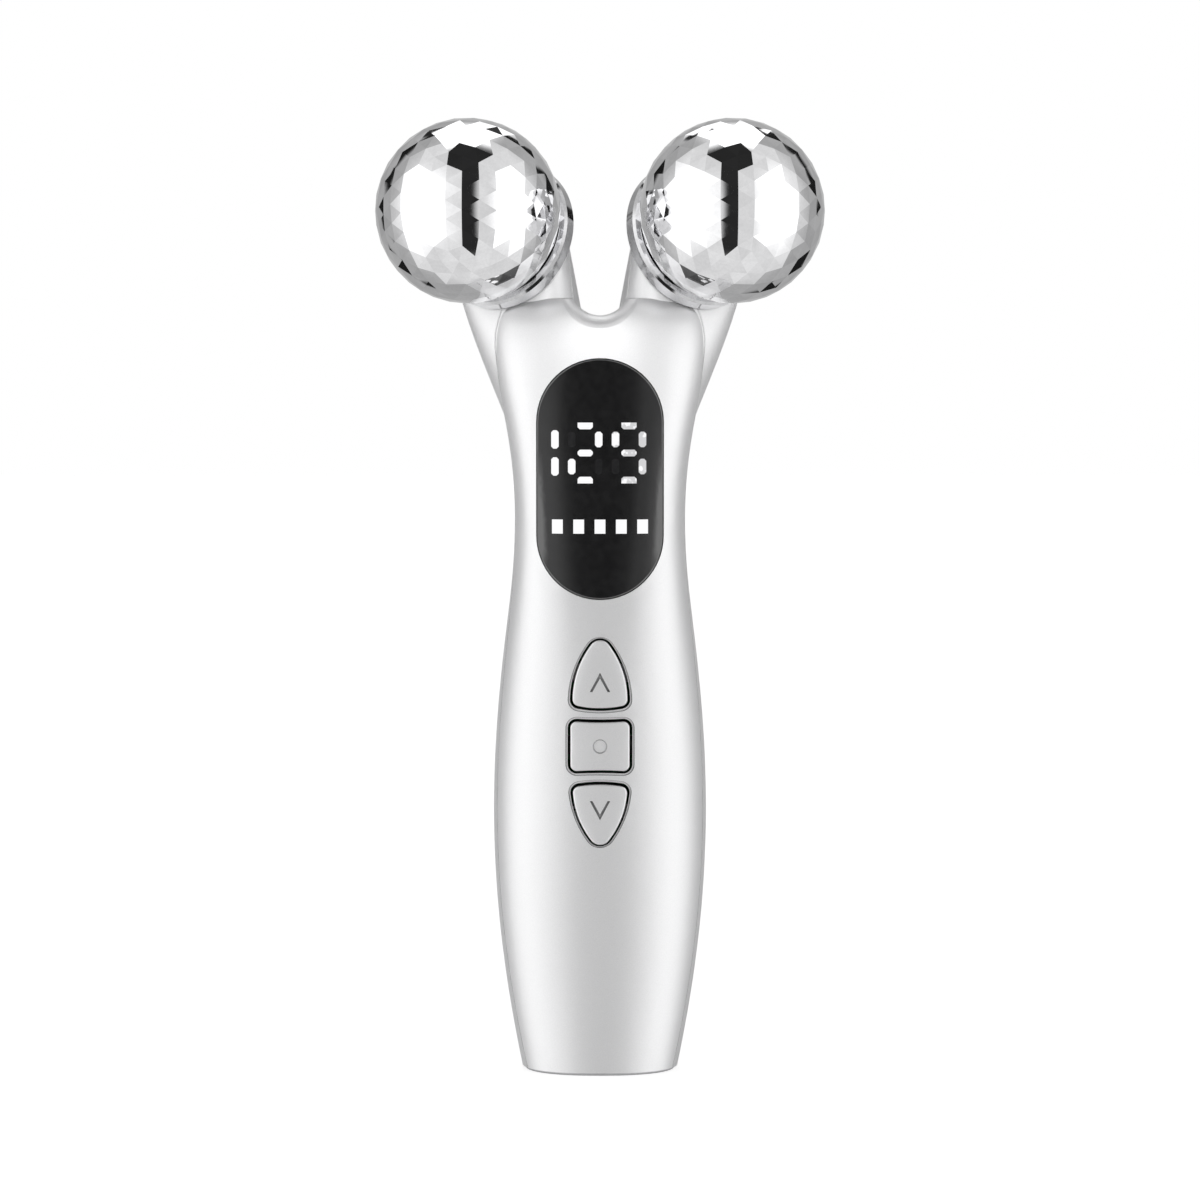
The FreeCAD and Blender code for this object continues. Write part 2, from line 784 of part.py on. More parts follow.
def rear_shell():
    half_seam = float(s.seam_gap) / 2
    back = float(FRONT_REACH)
    wall = OUTER.cut(CAVITY).common(slab(PARTING + half_seam, back, s.cap_rim))
    lip = handle_form(HALF_WALL).cut(CAVITY)
    wall = wall.fuse(lip.common(slab(PARTING - float(s.lip_height), PARTING + half_seam, s.cap_rim)))
    root = grip_form(float(s.wall) * BOSS_ROOT_SHARE)
    for rib in base_posts() + battery_ribs():
        wall = wall.fuse(rib.common(root))
    for side in (LEFT, RIGHT):
        hole = Part.makeCylinder(float(s.axle_radius + s.axle_play), float(AXLE_END),
                                 behind(side, AXLE_END), axle_direction(side))
        foot = Vector(side * float(s.base_screw_offset), float(s.base_screw_back), 0)
        pilot = Part.makeCylinder(float(s.base_screw_radius + s.screw_gap), float(s.post_height), foot)
        wall = wall.cut([hole, pilot])
    return wall


solid_feature("front_shell", front_shell())
solid_feature("rear_shell", rear_shell())


# Base cap with its rim, its plug and the slot of the charging port
def port_prism(grow, low, high):
    """The rounded slot of the charging port between two heights."""
    half_width = float(s.port_half_width + grow)
    back = float(s.port_thickness - BOARD_BACK + grow)
    front = -float(BOARD_BACK + grow)
    block = Part.makeBox(2 * half_width, back - front, float(high) - float(low),
                         Vector(-half_width, front, float(low)))
    corners = [edge for edge in block.Edges if edge.BoundBox.ZLength > float(s.tongue_thickness)]
    return block.makeFillet((back - front) / 3, corners)


def base_section(height, inset):
    """The outline of the handle's foot at a height, drawn in by an inset."""
    height_share, width_share, depth_share, squareness = STATION_SHARES[0]
    half_width = s.grip_half_width * width_share - inset
    half_depth = s.grip_half_depth * depth_share - inset
    return handle_section(float(height), float(half_width), float(half_depth), squareness)


def base_cap():
    reach = float(FRONT_REACH)
    above_rim = slab(-reach, reach, s.cap_rim)
    above_plug = slab(-reach, reach, s.cap_rim + s.cap_plug)
    outlines = [base_section(NONE, s.cap_inset + s.cap_bevel), base_section(s.cap_bevel, s.cap_inset),
                base_section(s.cap_rim, s.cap_inset)]
    rim = Part.makeLoft(outlines, True, True)
    inner = grip_form(float(s.wall + s.cap_plug_gap))
    cap = rim.fuse(inner.common(above_rim).cut(above_plug))
    cap = cap.cut(port_prism(s.port_gap, -s.overrun, s.cap_rim + s.cap_plug + s.overrun))
    for side in (LEFT, RIGHT):
        foot = Vector(side * float(s.base_screw_offset), float(s.base_screw_back), 0)
        shank = Part.makeCylinder(float(s.base_screw_radius + s.screw_gap), float(s.post_height), foot)
        head = Part.makeCylinder(float(s.base_screw_head_radius + s.screw_gap),
                                 float(s.base_screw_head + s.screw_gap), foot)
        cap = cap.cut([shank, head])
    return cap


def hexagon_prism(foot, radius, height):
    """An upright six-sided block."""
    corners = []
    for i in range(7):
        turn = math.pi / 3 * i
        corners.append(foot + Vector(math.cos(turn), math.sin(turn), 0) * float(radius))
    return Part.Face(Part.makePolygon(corners)).extrude(UP * float(height))


def base_screws():
    """Two cap screws, their heads just inside the face they are sunk in."""
    screws = []
    for side in (LEFT, RIGHT):
        foot = Vector(side * float(s.base_screw_offset), float(s.base_screw_back), float(s.base_screw_sink))
        head = Part.makeCylinder(float(s.base_screw_head_radius),
                                 float(s.base_screw_head - s.base_screw_sink), foot)
        shank = Part.makeCylinder(float(s.base_screw_radius), float(s.base_screw_length), foot)
        socket = hexagon_prism(foot, s.base_screw_socket, s.base_screw_head / 2)
        screws.append(head.fuse(shank).cut(socket))
    return Part.makeCompound(screws)


solid_feature("base_cap", base_cap())
solid_feature("base_screws", base_screws())


# Display lens with slots for its light guides
def segment_outline(middle, along, across, cut_sides):
    """A digit segment: a bar whose corners are cut off on the named sides of its length."""
    bevel = float(s.digit_bevel)
    along_cut = along * (bevel / along.Length)
    across_cut = across * (bevel / across.Length)
    points = []
    for end, side in ((1, 1), (-1, 1), (-1, -1), (1, -1)):
        corner = middle + along * end + across * side
        if side in cut_sides:
            pair = [corner - across_cut * side, corner - along_cut * end]
            points += pair if end == side else pair[::-1]
        else:
            points.append(corner)
    return Part.makePolygon(points + points[:1]).Edges


def digit_segments(middle, upright_length):
    """The seven segments of a digit by name, as outlines."""
    half_width = float(s.digit_spread) / 2
    half_height = float(s.digit_rise) / 2
    along, across = at_front(s.digit_bar_length / 2, NONE), at_front(NONE, s.digit_bar / 2)
    segments = {}
    for name, level, cut_sides in (("top", 1, [-1]), ("middle", 0, [-1, 1]), ("bottom", -1, [1])):
        segments[name] = segment_outline(middle + UP * (half_height * level), along, across, cut_sides)
    along, across = at_front(NONE, upright_length / 2), at_front(s.digit_stroke / 2, NONE)
    for name, side, level in (("upper_left", LEFT, 1), ("upper_right", RIGHT, 1),
                              ("lower_left", LEFT, -1), ("lower_right", RIGHT, -1)):
        spot = middle + Vector(half_width * side, 0, half_height / 2 * level)
        segments[name] = segment_outline(spot, along, across, [-1, 1])
    return segments


# The first digit has only its right-hand strokes; the display shows 129
RIGHT_STROKES = {"upper_right", "lower_right"}
CROSS_BARS = {"top", "middle", "bottom"}
DIGITS = [
    (-1, s.first_upright_length, RIGHT_STROKES, RIGHT_STROKES),
    (0, s.digit_upright_length, CROSS_BARS | {"upper_right", "lower_left"}, None),
    (1, s.digit_upright_length, CROSS_BARS | RIGHT_STROKES | {"upper_left"}, None),
]
BAR_COUNT = 5


def display_outlines():
    """Outlines of the lit segments, the unlit segments and the level bars."""
    lit, unlit, bars = [], [], []
    for cell, upright_length, shown, fitted in DIGITS:
        middle = at_front(s.digit_pitch * cell - s.digits_offset, WINDOW_MIDDLE + s.digits_rise)
        for name, outline in digit_segments(middle, upright_length).items():
            if fitted is None or name in fitted:
                (lit if name in shown else unlit).append(outline)
    half_width, half_height = float(s.bar_width) / 2, float(s.bar_height) / 2
    for i in range(BAR_COUNT):
        middle = at_front(s.bar_pitch * (i - (BAR_COUNT - 1) / 2), WINDOW_MIDDLE - s.bars_drop)
        corners = [middle + Vector(half_width * u, 0, half_height * v)
                   for u, v in ((-1, -1), (1, -1), (1, 1), (-1, 1), (-1, -1))]
        bars.append(Part.makePolygon(corners).Edges)
    return lit, unlit, bars


LENS_FRONT = grip_form(-float(s.lens_proud))
GUIDE_BACK = -MODULE_FRONT


def light_guides(outlines):
    """Clear bars from the display module to the face of the lens."""
    return [front_prism(outline, GUIDE_BACK).common(LENS_FRONT) for outline in outlines]


def front_edges(shape):
    """Edges round the front face, the foremost of the two broad faces."""
    broad = sorted(shape.Faces, key=lambda face: face.Area)[-2:]
    return min(broad, key=lambda face: face.CenterOfMass.y).Edges


def display_lens(guides):
    lens = window_prism(s.lens_gap).common(LENS_FRONT).cut(grip_form(float(LENS_SEAT)))
    lens = lens.makeFillet(float(s.lens_round), front_edges(lens))
    return lens.cut(guides)


def lens_gasket():
    band = window_prism(s.lens_gap).cut(window_prism(s.ledge_width))
    return band.common(grip_form(float(LENS_SEAT))).cut(grip_form(float(GASKET_SEAT)))


lit_outlines, unlit_outlines, bar_outlines = display_outlines()
lit_guides = light_guides(lit_outlines)
unlit_guides = light_guides(unlit_outlines)
bar_guides = light_guides(bar_outlines)
solid_feature("display_lens", display_lens(lit_guides + unlit_guides + bar_guides))
solid_feature("lit_segments", Part.makeCompound(lit_guides))
solid_feature("unlit_segments", Part.makeCompound(unlit_guides))
solid_feature("level_bars", Part.makeCompound(bar_guides))
solid_feature("lens_gasket", lens_gasket())
plate("display_module",
      rectangle(s.window_half_width - s.module_margin, WINDOW_MIDDLE - s.module_length / 2,
                WINDOW_MIDDLE + s.module_length / 2),
      MODULE_FRONT, MODULE_FRONT - BOARD_FRONT)


# Buttons: caps that follow the front of the handle, with ears, a stem and an engraved mark
def chevron(tip, direction):
    """An engraved pointer of two strokes that meet at its tip."""
    foot = -direction * float(s.chevron_height)
    half_width = float(s.chevron_half_width)
    stroke = float(s.mark_stroke)
    slant = math.hypot(half_width, float(s.chevron_height)) / half_width * stroke
    outline = [tip, tip + Vector(half_width, 0, foot), tip + Vector(half_width - stroke, 0, foot),
               tip - UP * (slant * direction), tip + Vector(stroke - half_width, 0, foot),
               tip + Vector(-half_width, 0, foot), tip]
    return front_prism(Part.makePolygon(outline).Edges)


def dimple(middle):
    return front_cylinder(NONE, middle, s.dimple_radius, FRONT_REACH, NONE)


MARKS = {
    "up": chevron(at_front(NONE, UP_FOOT + s.mark_foot + s.chevron_height), 1),
    "select": dimple(SELECT_FOOT + s.select_length / 2),
    "down": chevron(at_front(NONE, DOWN_FOOT - s.mark_foot - s.chevron_height), -1),
}
CAP_FRONT = grip_form(-float(s.button_proud))
CAP_BACK = grip_form(float(s.wall + s.button_skirt))
MARK_FLOOR = grip_form(float(s.mark_depth - s.button_proud))
EAR_FRONT = grip_form(float(s.wall + s.ear_gap))
PLUNGER_TOP = BOARD_FRONT + s.switch_height + s.plunger_show


def button(name):
    prism, stem_height, half_width = BUTTONS[name]
    cap = prism(NONE).common(CAP_FRONT).cut(CAP_BACK)
    cap = cap.makeFillet(float(s.button_round), front_edges(cap))
    cap = cap.cut(MARKS[name].cut(MARK_FLOOR))
    reach = float(half_width + s.ear_reach)
    tall = float(s.ear_height)
    ears = Part.makeBox(2 * reach, float(FRONT_REACH), tall,
                        Vector(-reach, -float(FRONT_REACH), float(stem_height) - tall / 2))
    ears = ears.common(EAR_FRONT).cut(CAP_BACK)
    stem = front_cylinder(NONE, stem_height, s.stem_radius, FRONT_REACH, PLUNGER_TOP).common(EAR_FRONT)
    return cap.fuse([ears, stem])


for name, (prism, stem_height, half_width) in BUTTONS.items():
    solid_feature(f"{name}_button", button(name))
    switch = plate(f"{name}_switch",
                   rectangle(s.switch_half_width, stem_height - s.switch_half_width,
                             stem_height + s.switch_half_width),
                   BOARD_FRONT + s.switch_height, s.switch_height)
    well = new_sketch(switch, f"{name}_well", "XZ_Plane", BOARD_FRONT + s.switch_height)
    draw_circles(well, [(NONE, stem_height)], s.plunger_radius + s.plunger_play)
    drill(switch, well, s.plunger_depth + s.button_travel + s.plunger_play)
    plunger = doc.addObject("Part::Cylinder", f"{name}_plunger")
    plunger.Label = f"{name}_plunger"
    bind(plunger, Radius=s.plunger_radius, Height=s.plunger_show + s.plunger_depth)
    plunger.Placement.Rotation = FreeCAD.Rotation(UP, Vector(0, 1, 0))
    place(plunger, y=-PLUNGER_TOP, z=stem_height)


# Main board on its bosses, with its chips and screws
shoulder = s.board_shoulder + s.board_shoulder_rise
board = plate("main_board",
              [(-s.board_tail_half_width, s.board_bottom), (s.board_tail_half_width, s.board_bottom),
               (s.board_tail_half_width, s.board_shoulder), (BOARD_HALF_WIDTH, shoulder),
               (BOARD_HALF_WIDTH, BOARD_TOP), (-BOARD_HALF_WIDTH, BOARD_TOP),
               (-BOARD_HALF_WIDTH, shoulder), (-s.board_tail_half_width, s.board_shoulder)],
              BOARD_FRONT, s.board_thickness)
screw_holes = new_sketch(board, "screw_holes", "XZ_Plane", BOARD_FRONT)
draw_circles(screw_holes, board_bosses(), s.board_screw_radius + s.screw_gap)
drill(board, screw_holes, s.board_thickness + s.overrun)

board_screws = []
for across, height in board_bosses():
    tip = BOARD_FRONT + s.board_screw_length - s.screw_gap
    head_back = BOARD_BACK - s.board_screw_head
    shank = front_cylinder(across, height, s.board_screw_radius, tip, BOARD_BACK)
    head = front_cylinder(across, height, s.board_screw_head_radius, BOARD_BACK, head_back)
    board_screws.append(shank.fuse(head))
solid_feature("board_screws", Part.makeCompound(board_screws))

for label, half_width, middle in (
        ("controller_chip", s.controller_half_width, WINDOW_MIDDLE - s.controller_drop),
        ("charging_chip", s.charger_half_width, s.charger_middle)):
    outline = rectangle(half_width, middle - half_width, middle + half_width)
    plate(label, outline, BOARD_BACK, s.chip_thickness)


# Battery on its foam pad behind the board
plate("battery_foam",
      rectangle(BOSS_OFFSET - s.board_screw_head_radius - s.foam_gap, s.battery_bottom + s.foam_margin,
                BATTERY_TOP - s.foam_margin),
      BOARD_BACK, FOAM_THICKNESS)
battery = plate("battery", rectangle(BATTERY_HALF_WIDTH, s.battery_bottom, BATTERY_TOP),
                BATTERY_FRONT, BATTERY_FRONT - BATTERY_BACK)
battery_block = battery.Tip
long_edges = [f"Edge{i}" for i, edge in enumerate(battery_block.Shape.Edges, start=1)
              if edge.BoundBox.XLength + edge.BoundBox.YLength < edge.BoundBox.ZLength]
round_edges = battery.newObject("PartDesign::Fillet", "battery_round_edges")
round_edges.Base = (battery_block, long_edges)
bind(round_edges, Radius=s.battery_round)


# Charging port: a drawn steel shell round a contact tongue, behind the foot of the board
def charging_port():
    mouth = s.port_recess
    end = mouth + s.port_length
    case = port_prism(NONE, mouth, end)
    return case.cut(port_prism(-s.port_wall, mouth - s.overrun, end - s.port_wall))


def contact_tongue():
    middle = float(s.port_thickness) / 2 - float(BOARD_BACK)
    half_width, thickness = float(s.tongue_half_width), float(s.tongue_thickness)
    root = float(s.port_recess + s.port_length - s.port_wall)
    corner = Vector(-half_width, middle - thickness / 2, root - float(s.tongue_length))
    return Part.makeBox(2 * half_width, thickness, float(s.tongue_length), corner)


solid_feature("charging_port", charging_port())
solid_feature("port_tongue", contact_tongue())


# Faceted ball: an icosahedron whose faces are split into small flats on the sphere
def icosahedron():
    golden = (1 + math.sqrt(5)) / 2
    corners = []
    for u in (-1, 1):
        for v in (-golden, golden):
            corners += [Vector(0, u, v), Vector(u, v, 0), Vector(v, 0, u)]
    faces = []
    for a, b, c in itertools.combinations(corners, 3):
        # Neighbours lie two apart, all other corners more than this
        if max((b - a).Length, (c - b).Length, (a - c).Length) < 1 + golden:
            outward = (b - a).cross(c - a).dot(a) > 0
            faces.append((a, b, c) if outward else (a, c, b))
    return faces


def facet_turn(side):
    """How the facets are turned in their ball: one row of them stands upright at the front."""
    across = Vector(1, 0, 0)
    lean = FreeCAD.Rotation(across, -float(s.facet_lean))
    turn = FreeCAD.Rotation(UP, side * float(s.facet_turn))
    return axle_frame(side).Rotation.inverted() * lean * turn * FreeCAD.Rotation(across, FORWARD)


def faceted_solid(radius, turn):
    points, triangles, index = [], [], {}

    def corner(face, i, j):
        a, b, c = face
        spot = a * (BALL_FREQUENCY - i - j) + b * i + c * j
        spot = spot.normalize() * radius
        key = tuple(round(value, 4) for value in spot)
        if key not in index:
            index[key] = len(points)
            points.append(spot)
        return index[key]

    for flat in icosahedron():
        face = [turn.multVec(point) for point in flat]
        for i in range(BALL_FREQUENCY):
            for j in range(BALL_FREQUENCY - i):
                low, right, left = corner(face, i, j), corner(face, i + 1, j), corner(face, i, j + 1)
                triangles.append((low, right, left))
                if i + j < BALL_FREQUENCY - 1:
                    triangles.append((right, corner(face, i + 1, j + 1), left))
    faces = []
    for triangle in triangles:
        corners = [points[n] for n in triangle]
        faces.append(Part.Face(Part.makePolygon(corners + corners[:1])))
    shell = Part.makeShell(faces)
    shell.sewShape()
    return Part.makeSolid(shell)


def ball_shell(side):
    """The hollow ball about its own centre, flat at the back and open for its hub."""
    radius = float(s.ball_radius)
    back = float(s.ball_back)
    wall = float(s.ball_wall)
    span = 2 * (radius + float(s.overrun))
    behind_ball = Part.makeBox(span, span, span, Vector(-span / 2, -span / 2, -back - span))
    behind_cavity = behind_ball.copy()
    behind_cavity.translate(UP * float(s.hub_flange_thickness))
    cavity = Part.makeSphere(radius - wall).cut(behind_cavity)
    opening = Part.makeCylinder(float(s.hub_flange_radius + s.screw_gap), back, Vector(0, 0, -back - wall))
    return faceted_solid(radius, facet_turn(side)).cut([behind_ball, cavity, opening])


# Pieces of each ball and its axle, along the axle with the ball's centre at zero
def axle_clip(label, placement):
    """A flat retaining ring with an open side, in the groove near the axle's point."""
    outer = doc.addObject("Part::Cylinder", f"{label}_disc")
    bind(outer, Radius=s.clip_radius, Height=s.clip_thickness)
    bore = doc.addObject("Part::Cylinder", f"{label}_bore")
    bind(bore, Radius=s.clip_groove_radius + s.screw_gap, Height=s.clip_thickness)
    slot = doc.addObject("Part::Box", f"{label}_slot")
    bind(slot, Length=s.clip_radius + s.overrun, Width=s.clip_slot, Height=s.clip_thickness)
    place(slot, y=-s.clip_slot / 2)
    opening = doc.addObject("Part::Fuse", f"{label}_opening")
    opening.Base, opening.Tool = bore, slot
    clip = doc.addObject("Part::Cut", label)
    clip.Label = label
    clip.Base, clip.Tool = outer, opening
    lift = FreeCAD.Placement(UP * float(CLIP_LOW), FreeCAD.Rotation())
    clip.Placement = placement.multiply(lift)


def contact_lug(label, placement):
    """A brass ring terminal clamped under the nut, its tail towards the lead."""
    disc = doc.addObject("Part::Cylinder", f"{label}_ring")
    bind(disc, Radius=s.lug_radius, Height=s.lug_thickness)
    tail = doc.addObject("Part::Box", f"{label}_tail")
    bind(tail, Length=s.lug_reach, Width=s.lug_width, Height=s.lug_thickness)
    place(tail, y=-s.lug_width / 2)
    blank = doc.addObject("Part::Fuse", f"{label}_blank")
    blank.Base, blank.Tool = disc, tail
    bore = doc.addObject("Part::Cylinder", f"{label}_bore")
    bind(bore, Radius=s.axle_radius + s.screw_gap, Height=s.lug_thickness)
    lug = doc.addObject("Part::Cut", label)
    lug.Label = label
    lug.Base, lug.Tool = blank, bore
    lift = FreeCAD.Placement(UP * -float(NUT_FACE), FreeCAD.Rotation())
    lug.Placement = placement.multiply(lift)


def axle_nut(label, placement):
    blank = doc.addObject("Part::Prism", f"{label}_hexagon")
    blank.Polygon = 6
    bind(blank, Circumradius=s.nut_radius, Height=s.nut_thickness)
    bore = doc.addObject("Part::Cylinder", f"{label}_bore")
    bind(bore, Radius=s.axle_radius + s.screw_gap, Height=s.nut_thickness)
    nut = doc.addObject("Part::Cut", label)
    nut.Label = label
    nut.Base, nut.Tool = blank, bore
    lift = FreeCAD.Placement(UP * -float(NUT_FACE + s.nut_thickness), FreeCAD.Rotation())
    nut.Placement = placement.multiply(lift)


CLIP_LOW = s.hub_nose + s.collar_gap / 2
AXLE_TIP = CLIP_LOW + s.clip_thickness + s.axle_point
AXLE_BORE = s.axle_radius + s.axle_play
GROOVE_LOW = CLIP_LOW - s.screw_gap
GROOVE_HIGH = CLIP_LOW + s.clip_thickness + s.screw_gap
HUB_BACK = -s.ball_back
COLLAR_BACK = -ARM_END
COLLAR_FRONT = -COLLAR_FACE
COLLAR_RIM = COLLAR_FRONT + s.collar_lip_height


def lead_path(side, tail_end):
    """Up the back of the board, then across to the end of the lug's tail."""
    back = float(s.lead_radius - BOARD_BACK)
    foot = Vector(side * float(s.lead_offset), back, float(BOARD_TOP - s.lead_drop))
    knee = foot + UP * float(s.lead_rise)
    onward = (tail_end - knee).normalize()
    bend = float(s.lead_bend)
    turn_in, turn_out = knee - UP * bend, knee + onward * bend
    inward = (onward - UP).normalize()
    through = knee + inward * (bend * math.tan(math.acos(UP.dot(onward)) / 4))
    return [Part.LineSegment(foot, turn_in).toShape(), Part.Arc(turn_in, through, turn_out).toShape(),
            Part.LineSegment(turn_out, tail_end).toShape()]


def lead(side):
    frame = axle_frame(side)
    drop = float(NUT_FACE + s.lead_radius)
    tail_end = frame.multVec(Vector(float(s.lug_reach), 0, -drop))
    path = lead_path(side, tail_end)
    profile = Part.Wire(Part.Circle(path[0].firstVertex().Point, UP, float(s.lead_radius)).toShape())
    return Part.Wire(path).makePipeShell([profile], True, False)


for side, name in ((LEFT, "left"), (RIGHT, "right")):
    frame = axle_frame(side)
    solid_feature(f"{name}_ball_shell", ball_shell(side), frame)
    turned(f"{name}_ball_hub",
           [(s.bush_radius, HUB_BACK), (s.hub_flange_radius, HUB_BACK),
            (s.hub_flange_radius, HUB_BACK + s.hub_flange_thickness),
            (s.hub_radius, HUB_BACK + s.hub_flange_thickness), (s.hub_radius, s.hub_nose),
            (s.bush_radius, s.hub_nose)], frame)
    turned(f"{name}_rear_bush", ring(AXLE_BORE, s.bush_radius, HUB_BACK, HUB_BACK + s.bush_length), frame)
    turned(f"{name}_front_bush",
           ring(AXLE_BORE, s.bush_radius, s.hub_nose - s.bush_length, s.hub_nose), frame)
    turned(f"{name}_axle",
           [(NONE, -AXLE_END), (s.axle_radius, -AXLE_END), (s.axle_radius, GROOVE_LOW),
            (s.clip_groove_radius, GROOVE_LOW), (s.clip_groove_radius, GROOVE_HIGH),
            (s.axle_radius, GROOVE_HIGH), (s.axle_radius, AXLE_TIP - s.axle_point / 2),
            (s.clip_groove_radius, AXLE_TIP), (NONE, AXLE_TIP)], frame)
    turned(f"{name}_thrust_washer",
           ring(AXLE_BORE, s.washer_radius, COLLAR_FRONT, COLLAR_FRONT + s.washer_thickness), frame)
    turned(f"{name}_collar",
           [(AXLE_BORE, COLLAR_BACK), (COLLAR_RADIUS, COLLAR_BACK),
            (COLLAR_RADIUS, COLLAR_RIM - s.collar_bevel), (COLLAR_RADIUS - s.collar_bevel, COLLAR_RIM),
            (LIP_RADIUS, COLLAR_RIM), (LIP_RADIUS - s.collar_lip_height, COLLAR_FRONT),
            (AXLE_BORE, COLLAR_FRONT)], frame)
    turned(f"{name}_axle_carrier", ring(AXLE_BORE, s.carrier_radius, -LUG_FACE, -CARRIER_FACE), frame)
    axle_clip(f"{name}_axle_clip", frame)
    contact_lug(f"{name}_contact_lug", frame)
    axle_nut(f"{name}_axle_nut", frame)
    solid_feature(f"{name}_lead", lead(side))

doc.recompute()

# Check every object, then write one file for each finished piece
for thing in doc.Objects:
    if "Invalid" in thing.State or "Error" in thing.State:
        raise RuntimeError(f"{thing.Label} failed: {thing.State}")

finished = [thing for thing in doc.Objects
            if hasattr(thing, "Shape") and not thing.InList and not thing.isDerivedFrom("App::Origin")]
for thing in finished:
    if thing.Shape.isNull() or not thing.Shape.isValid() or not thing.Shape.Solids:
        raise RuntimeError(f"{thing.Label} has no valid solid")

os.makedirs("parts", exist_ok=True)
for thing in finished:
    thing.Shape.exportStep(f"parts/{thing.Label}.step")
    print(thing.Label, len(thing.Shape.Solids), round(thing.Shape.Volume, 2))
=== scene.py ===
import json
import math

import bpy
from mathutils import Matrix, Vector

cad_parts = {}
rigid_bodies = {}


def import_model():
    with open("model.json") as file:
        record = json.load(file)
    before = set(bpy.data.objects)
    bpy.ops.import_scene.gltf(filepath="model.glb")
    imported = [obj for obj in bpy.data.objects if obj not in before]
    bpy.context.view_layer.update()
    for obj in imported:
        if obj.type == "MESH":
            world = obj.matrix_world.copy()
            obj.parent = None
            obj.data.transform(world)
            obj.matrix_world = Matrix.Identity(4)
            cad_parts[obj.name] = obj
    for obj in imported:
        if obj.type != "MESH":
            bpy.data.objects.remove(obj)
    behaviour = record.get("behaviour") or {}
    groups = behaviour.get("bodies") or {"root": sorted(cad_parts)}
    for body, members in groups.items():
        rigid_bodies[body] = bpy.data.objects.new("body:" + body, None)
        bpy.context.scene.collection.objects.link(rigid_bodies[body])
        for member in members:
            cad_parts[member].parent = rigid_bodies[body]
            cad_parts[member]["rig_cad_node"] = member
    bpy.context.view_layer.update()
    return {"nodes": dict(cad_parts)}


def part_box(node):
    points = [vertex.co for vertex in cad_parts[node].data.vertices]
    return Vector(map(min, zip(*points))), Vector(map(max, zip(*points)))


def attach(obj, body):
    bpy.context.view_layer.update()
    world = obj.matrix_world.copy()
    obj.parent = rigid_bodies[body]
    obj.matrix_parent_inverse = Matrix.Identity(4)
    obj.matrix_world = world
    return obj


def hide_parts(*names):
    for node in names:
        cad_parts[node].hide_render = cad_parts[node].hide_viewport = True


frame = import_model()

# Main board
# A green fibreglass board carries the keys, the display and the charging circuit.
# Its copper tracks show as ridges under the lacquer, and four screws hold it to the front shell.
grain_detail = 3.0
grain_span = (0.3, 0.7)


def new_finish(name):
    """A material of nodes, with its tree and its shader."""
    finish = bpy.data.materials.new(name)
    finish.use_nodes = True
    return finish, finish.node_tree, finish.node_tree.nodes["Principled BSDF"]


def grain(tree, scale):
    """Fine noise in the piece's own coordinates, as a grey value."""
    place = tree.nodes.new("ShaderNodeTexCoord")
    noise = tree.nodes.new("ShaderNodeTexNoise")
    noise.inputs["Scale"].default_value = scale
    noise.inputs["Detail"].default_value = grain_detail
    tree.links.new(place.outputs["Object"], noise.inputs["Vector"])
    return noise.outputs["Fac"]


def soft_step(tree, value, span, ends=(0.0, 1.0)):
    """Go smoothly from one end to the other while a value goes through a span."""
    step = tree.nodes.new("ShaderNodeMapRange")
    step.interpolation_type = "SMOOTHSTEP"
    step.inputs["From Min"].default_value, step.inputs["From Max"].default_value = span
    step.inputs["To Min"].default_value, step.inputs["To Max"].default_value = ends
    tree.links.new(value, step.inputs["Value"])
    return step.outputs["Result"]


def tint(tree, value, dark, light):
    """A colour between two colours, by a grey value."""
    ramp = tree.nodes.new("ShaderNodeValToRGB")
    for element, position, colour in zip(ramp.color_ramp.elements, grain_span, (dark, light)):
        element.position = position
        element.color = (*colour, 1)
    tree.links.new(value, ramp.inputs["Fac"])
    return ramp.outputs["Color"]


def relief(tree, value, height, shader):
    """Raise the surface by a grey value, to a height in metres."""
    bump = tree.nodes.new("ShaderNodeBump")
    bump.inputs["Distance"].default_value = height
    tree.links.new(value, bump.inputs["Height"])
    tree.links.new(bump.outputs["Normal"], shader.inputs["Normal"])


def grained_finish(name, dark, light, metal, rough, scale, height=None):
    """A finish with a fine grain in its colour, its roughness and, with a height, its surface."""
    finish, tree, shader = new_finish(name)
    shader.inputs["Metallic"].default_value = metal
    value = grain(tree, scale)
    tree.links.new(tint(tree, value, dark, light), shader.inputs["Base Color"])
    tree.links.new(soft_step(tree, value, grain_span, rough), shader.inputs["Roughness"])
    if height is not None:
        relief(tree, value, height, shader)
    return finish


def dress(finish, *names):
    """Give solids their finish."""
    for name in names:
        frame["nodes"][name].material_slots[0].material = finish


board_dark = (0.01, 0.09, 0.03)
board_light = (0.03, 0.2, 0.06)
board_rough = (0.28, 0.42)
board_grain_scale = 1500
track_scale = 500
track_gap = 0.03
track_length = 2.4
track_pitch = 0.7
track_height = 0.00003
board_lacquer, tree, shader = new_finish("board_lacquer")
place = tree.nodes.new("ShaderNodeTexCoord")
upright = tree.nodes.new("ShaderNodeMapping")
upright.inputs["Rotation"].default_value = (math.radians(90), 0, 0)
tree.links.new(place.outputs["Object"], upright.inputs["Vector"])
tracks = tree.nodes.new("ShaderNodeTexBrick")
tracks.inputs["Scale"].default_value = track_scale
tracks.inputs["Mortar Size"].default_value = track_gap
tracks.inputs["Brick Width"].default_value = track_length
tracks.inputs["Row Height"].default_value = track_pitch
tree.links.new(upright.outputs["Vector"], tracks.inputs["Vector"])
lacquer = tint(tree, tracks.outputs["Fac"], board_dark, board_light)
tree.links.new(lacquer, shader.inputs["Base Color"])
board_grain = grain(tree, board_grain_scale)
tree.links.new(soft_step(tree, board_grain, grain_span, board_rough), shader.inputs["Roughness"])
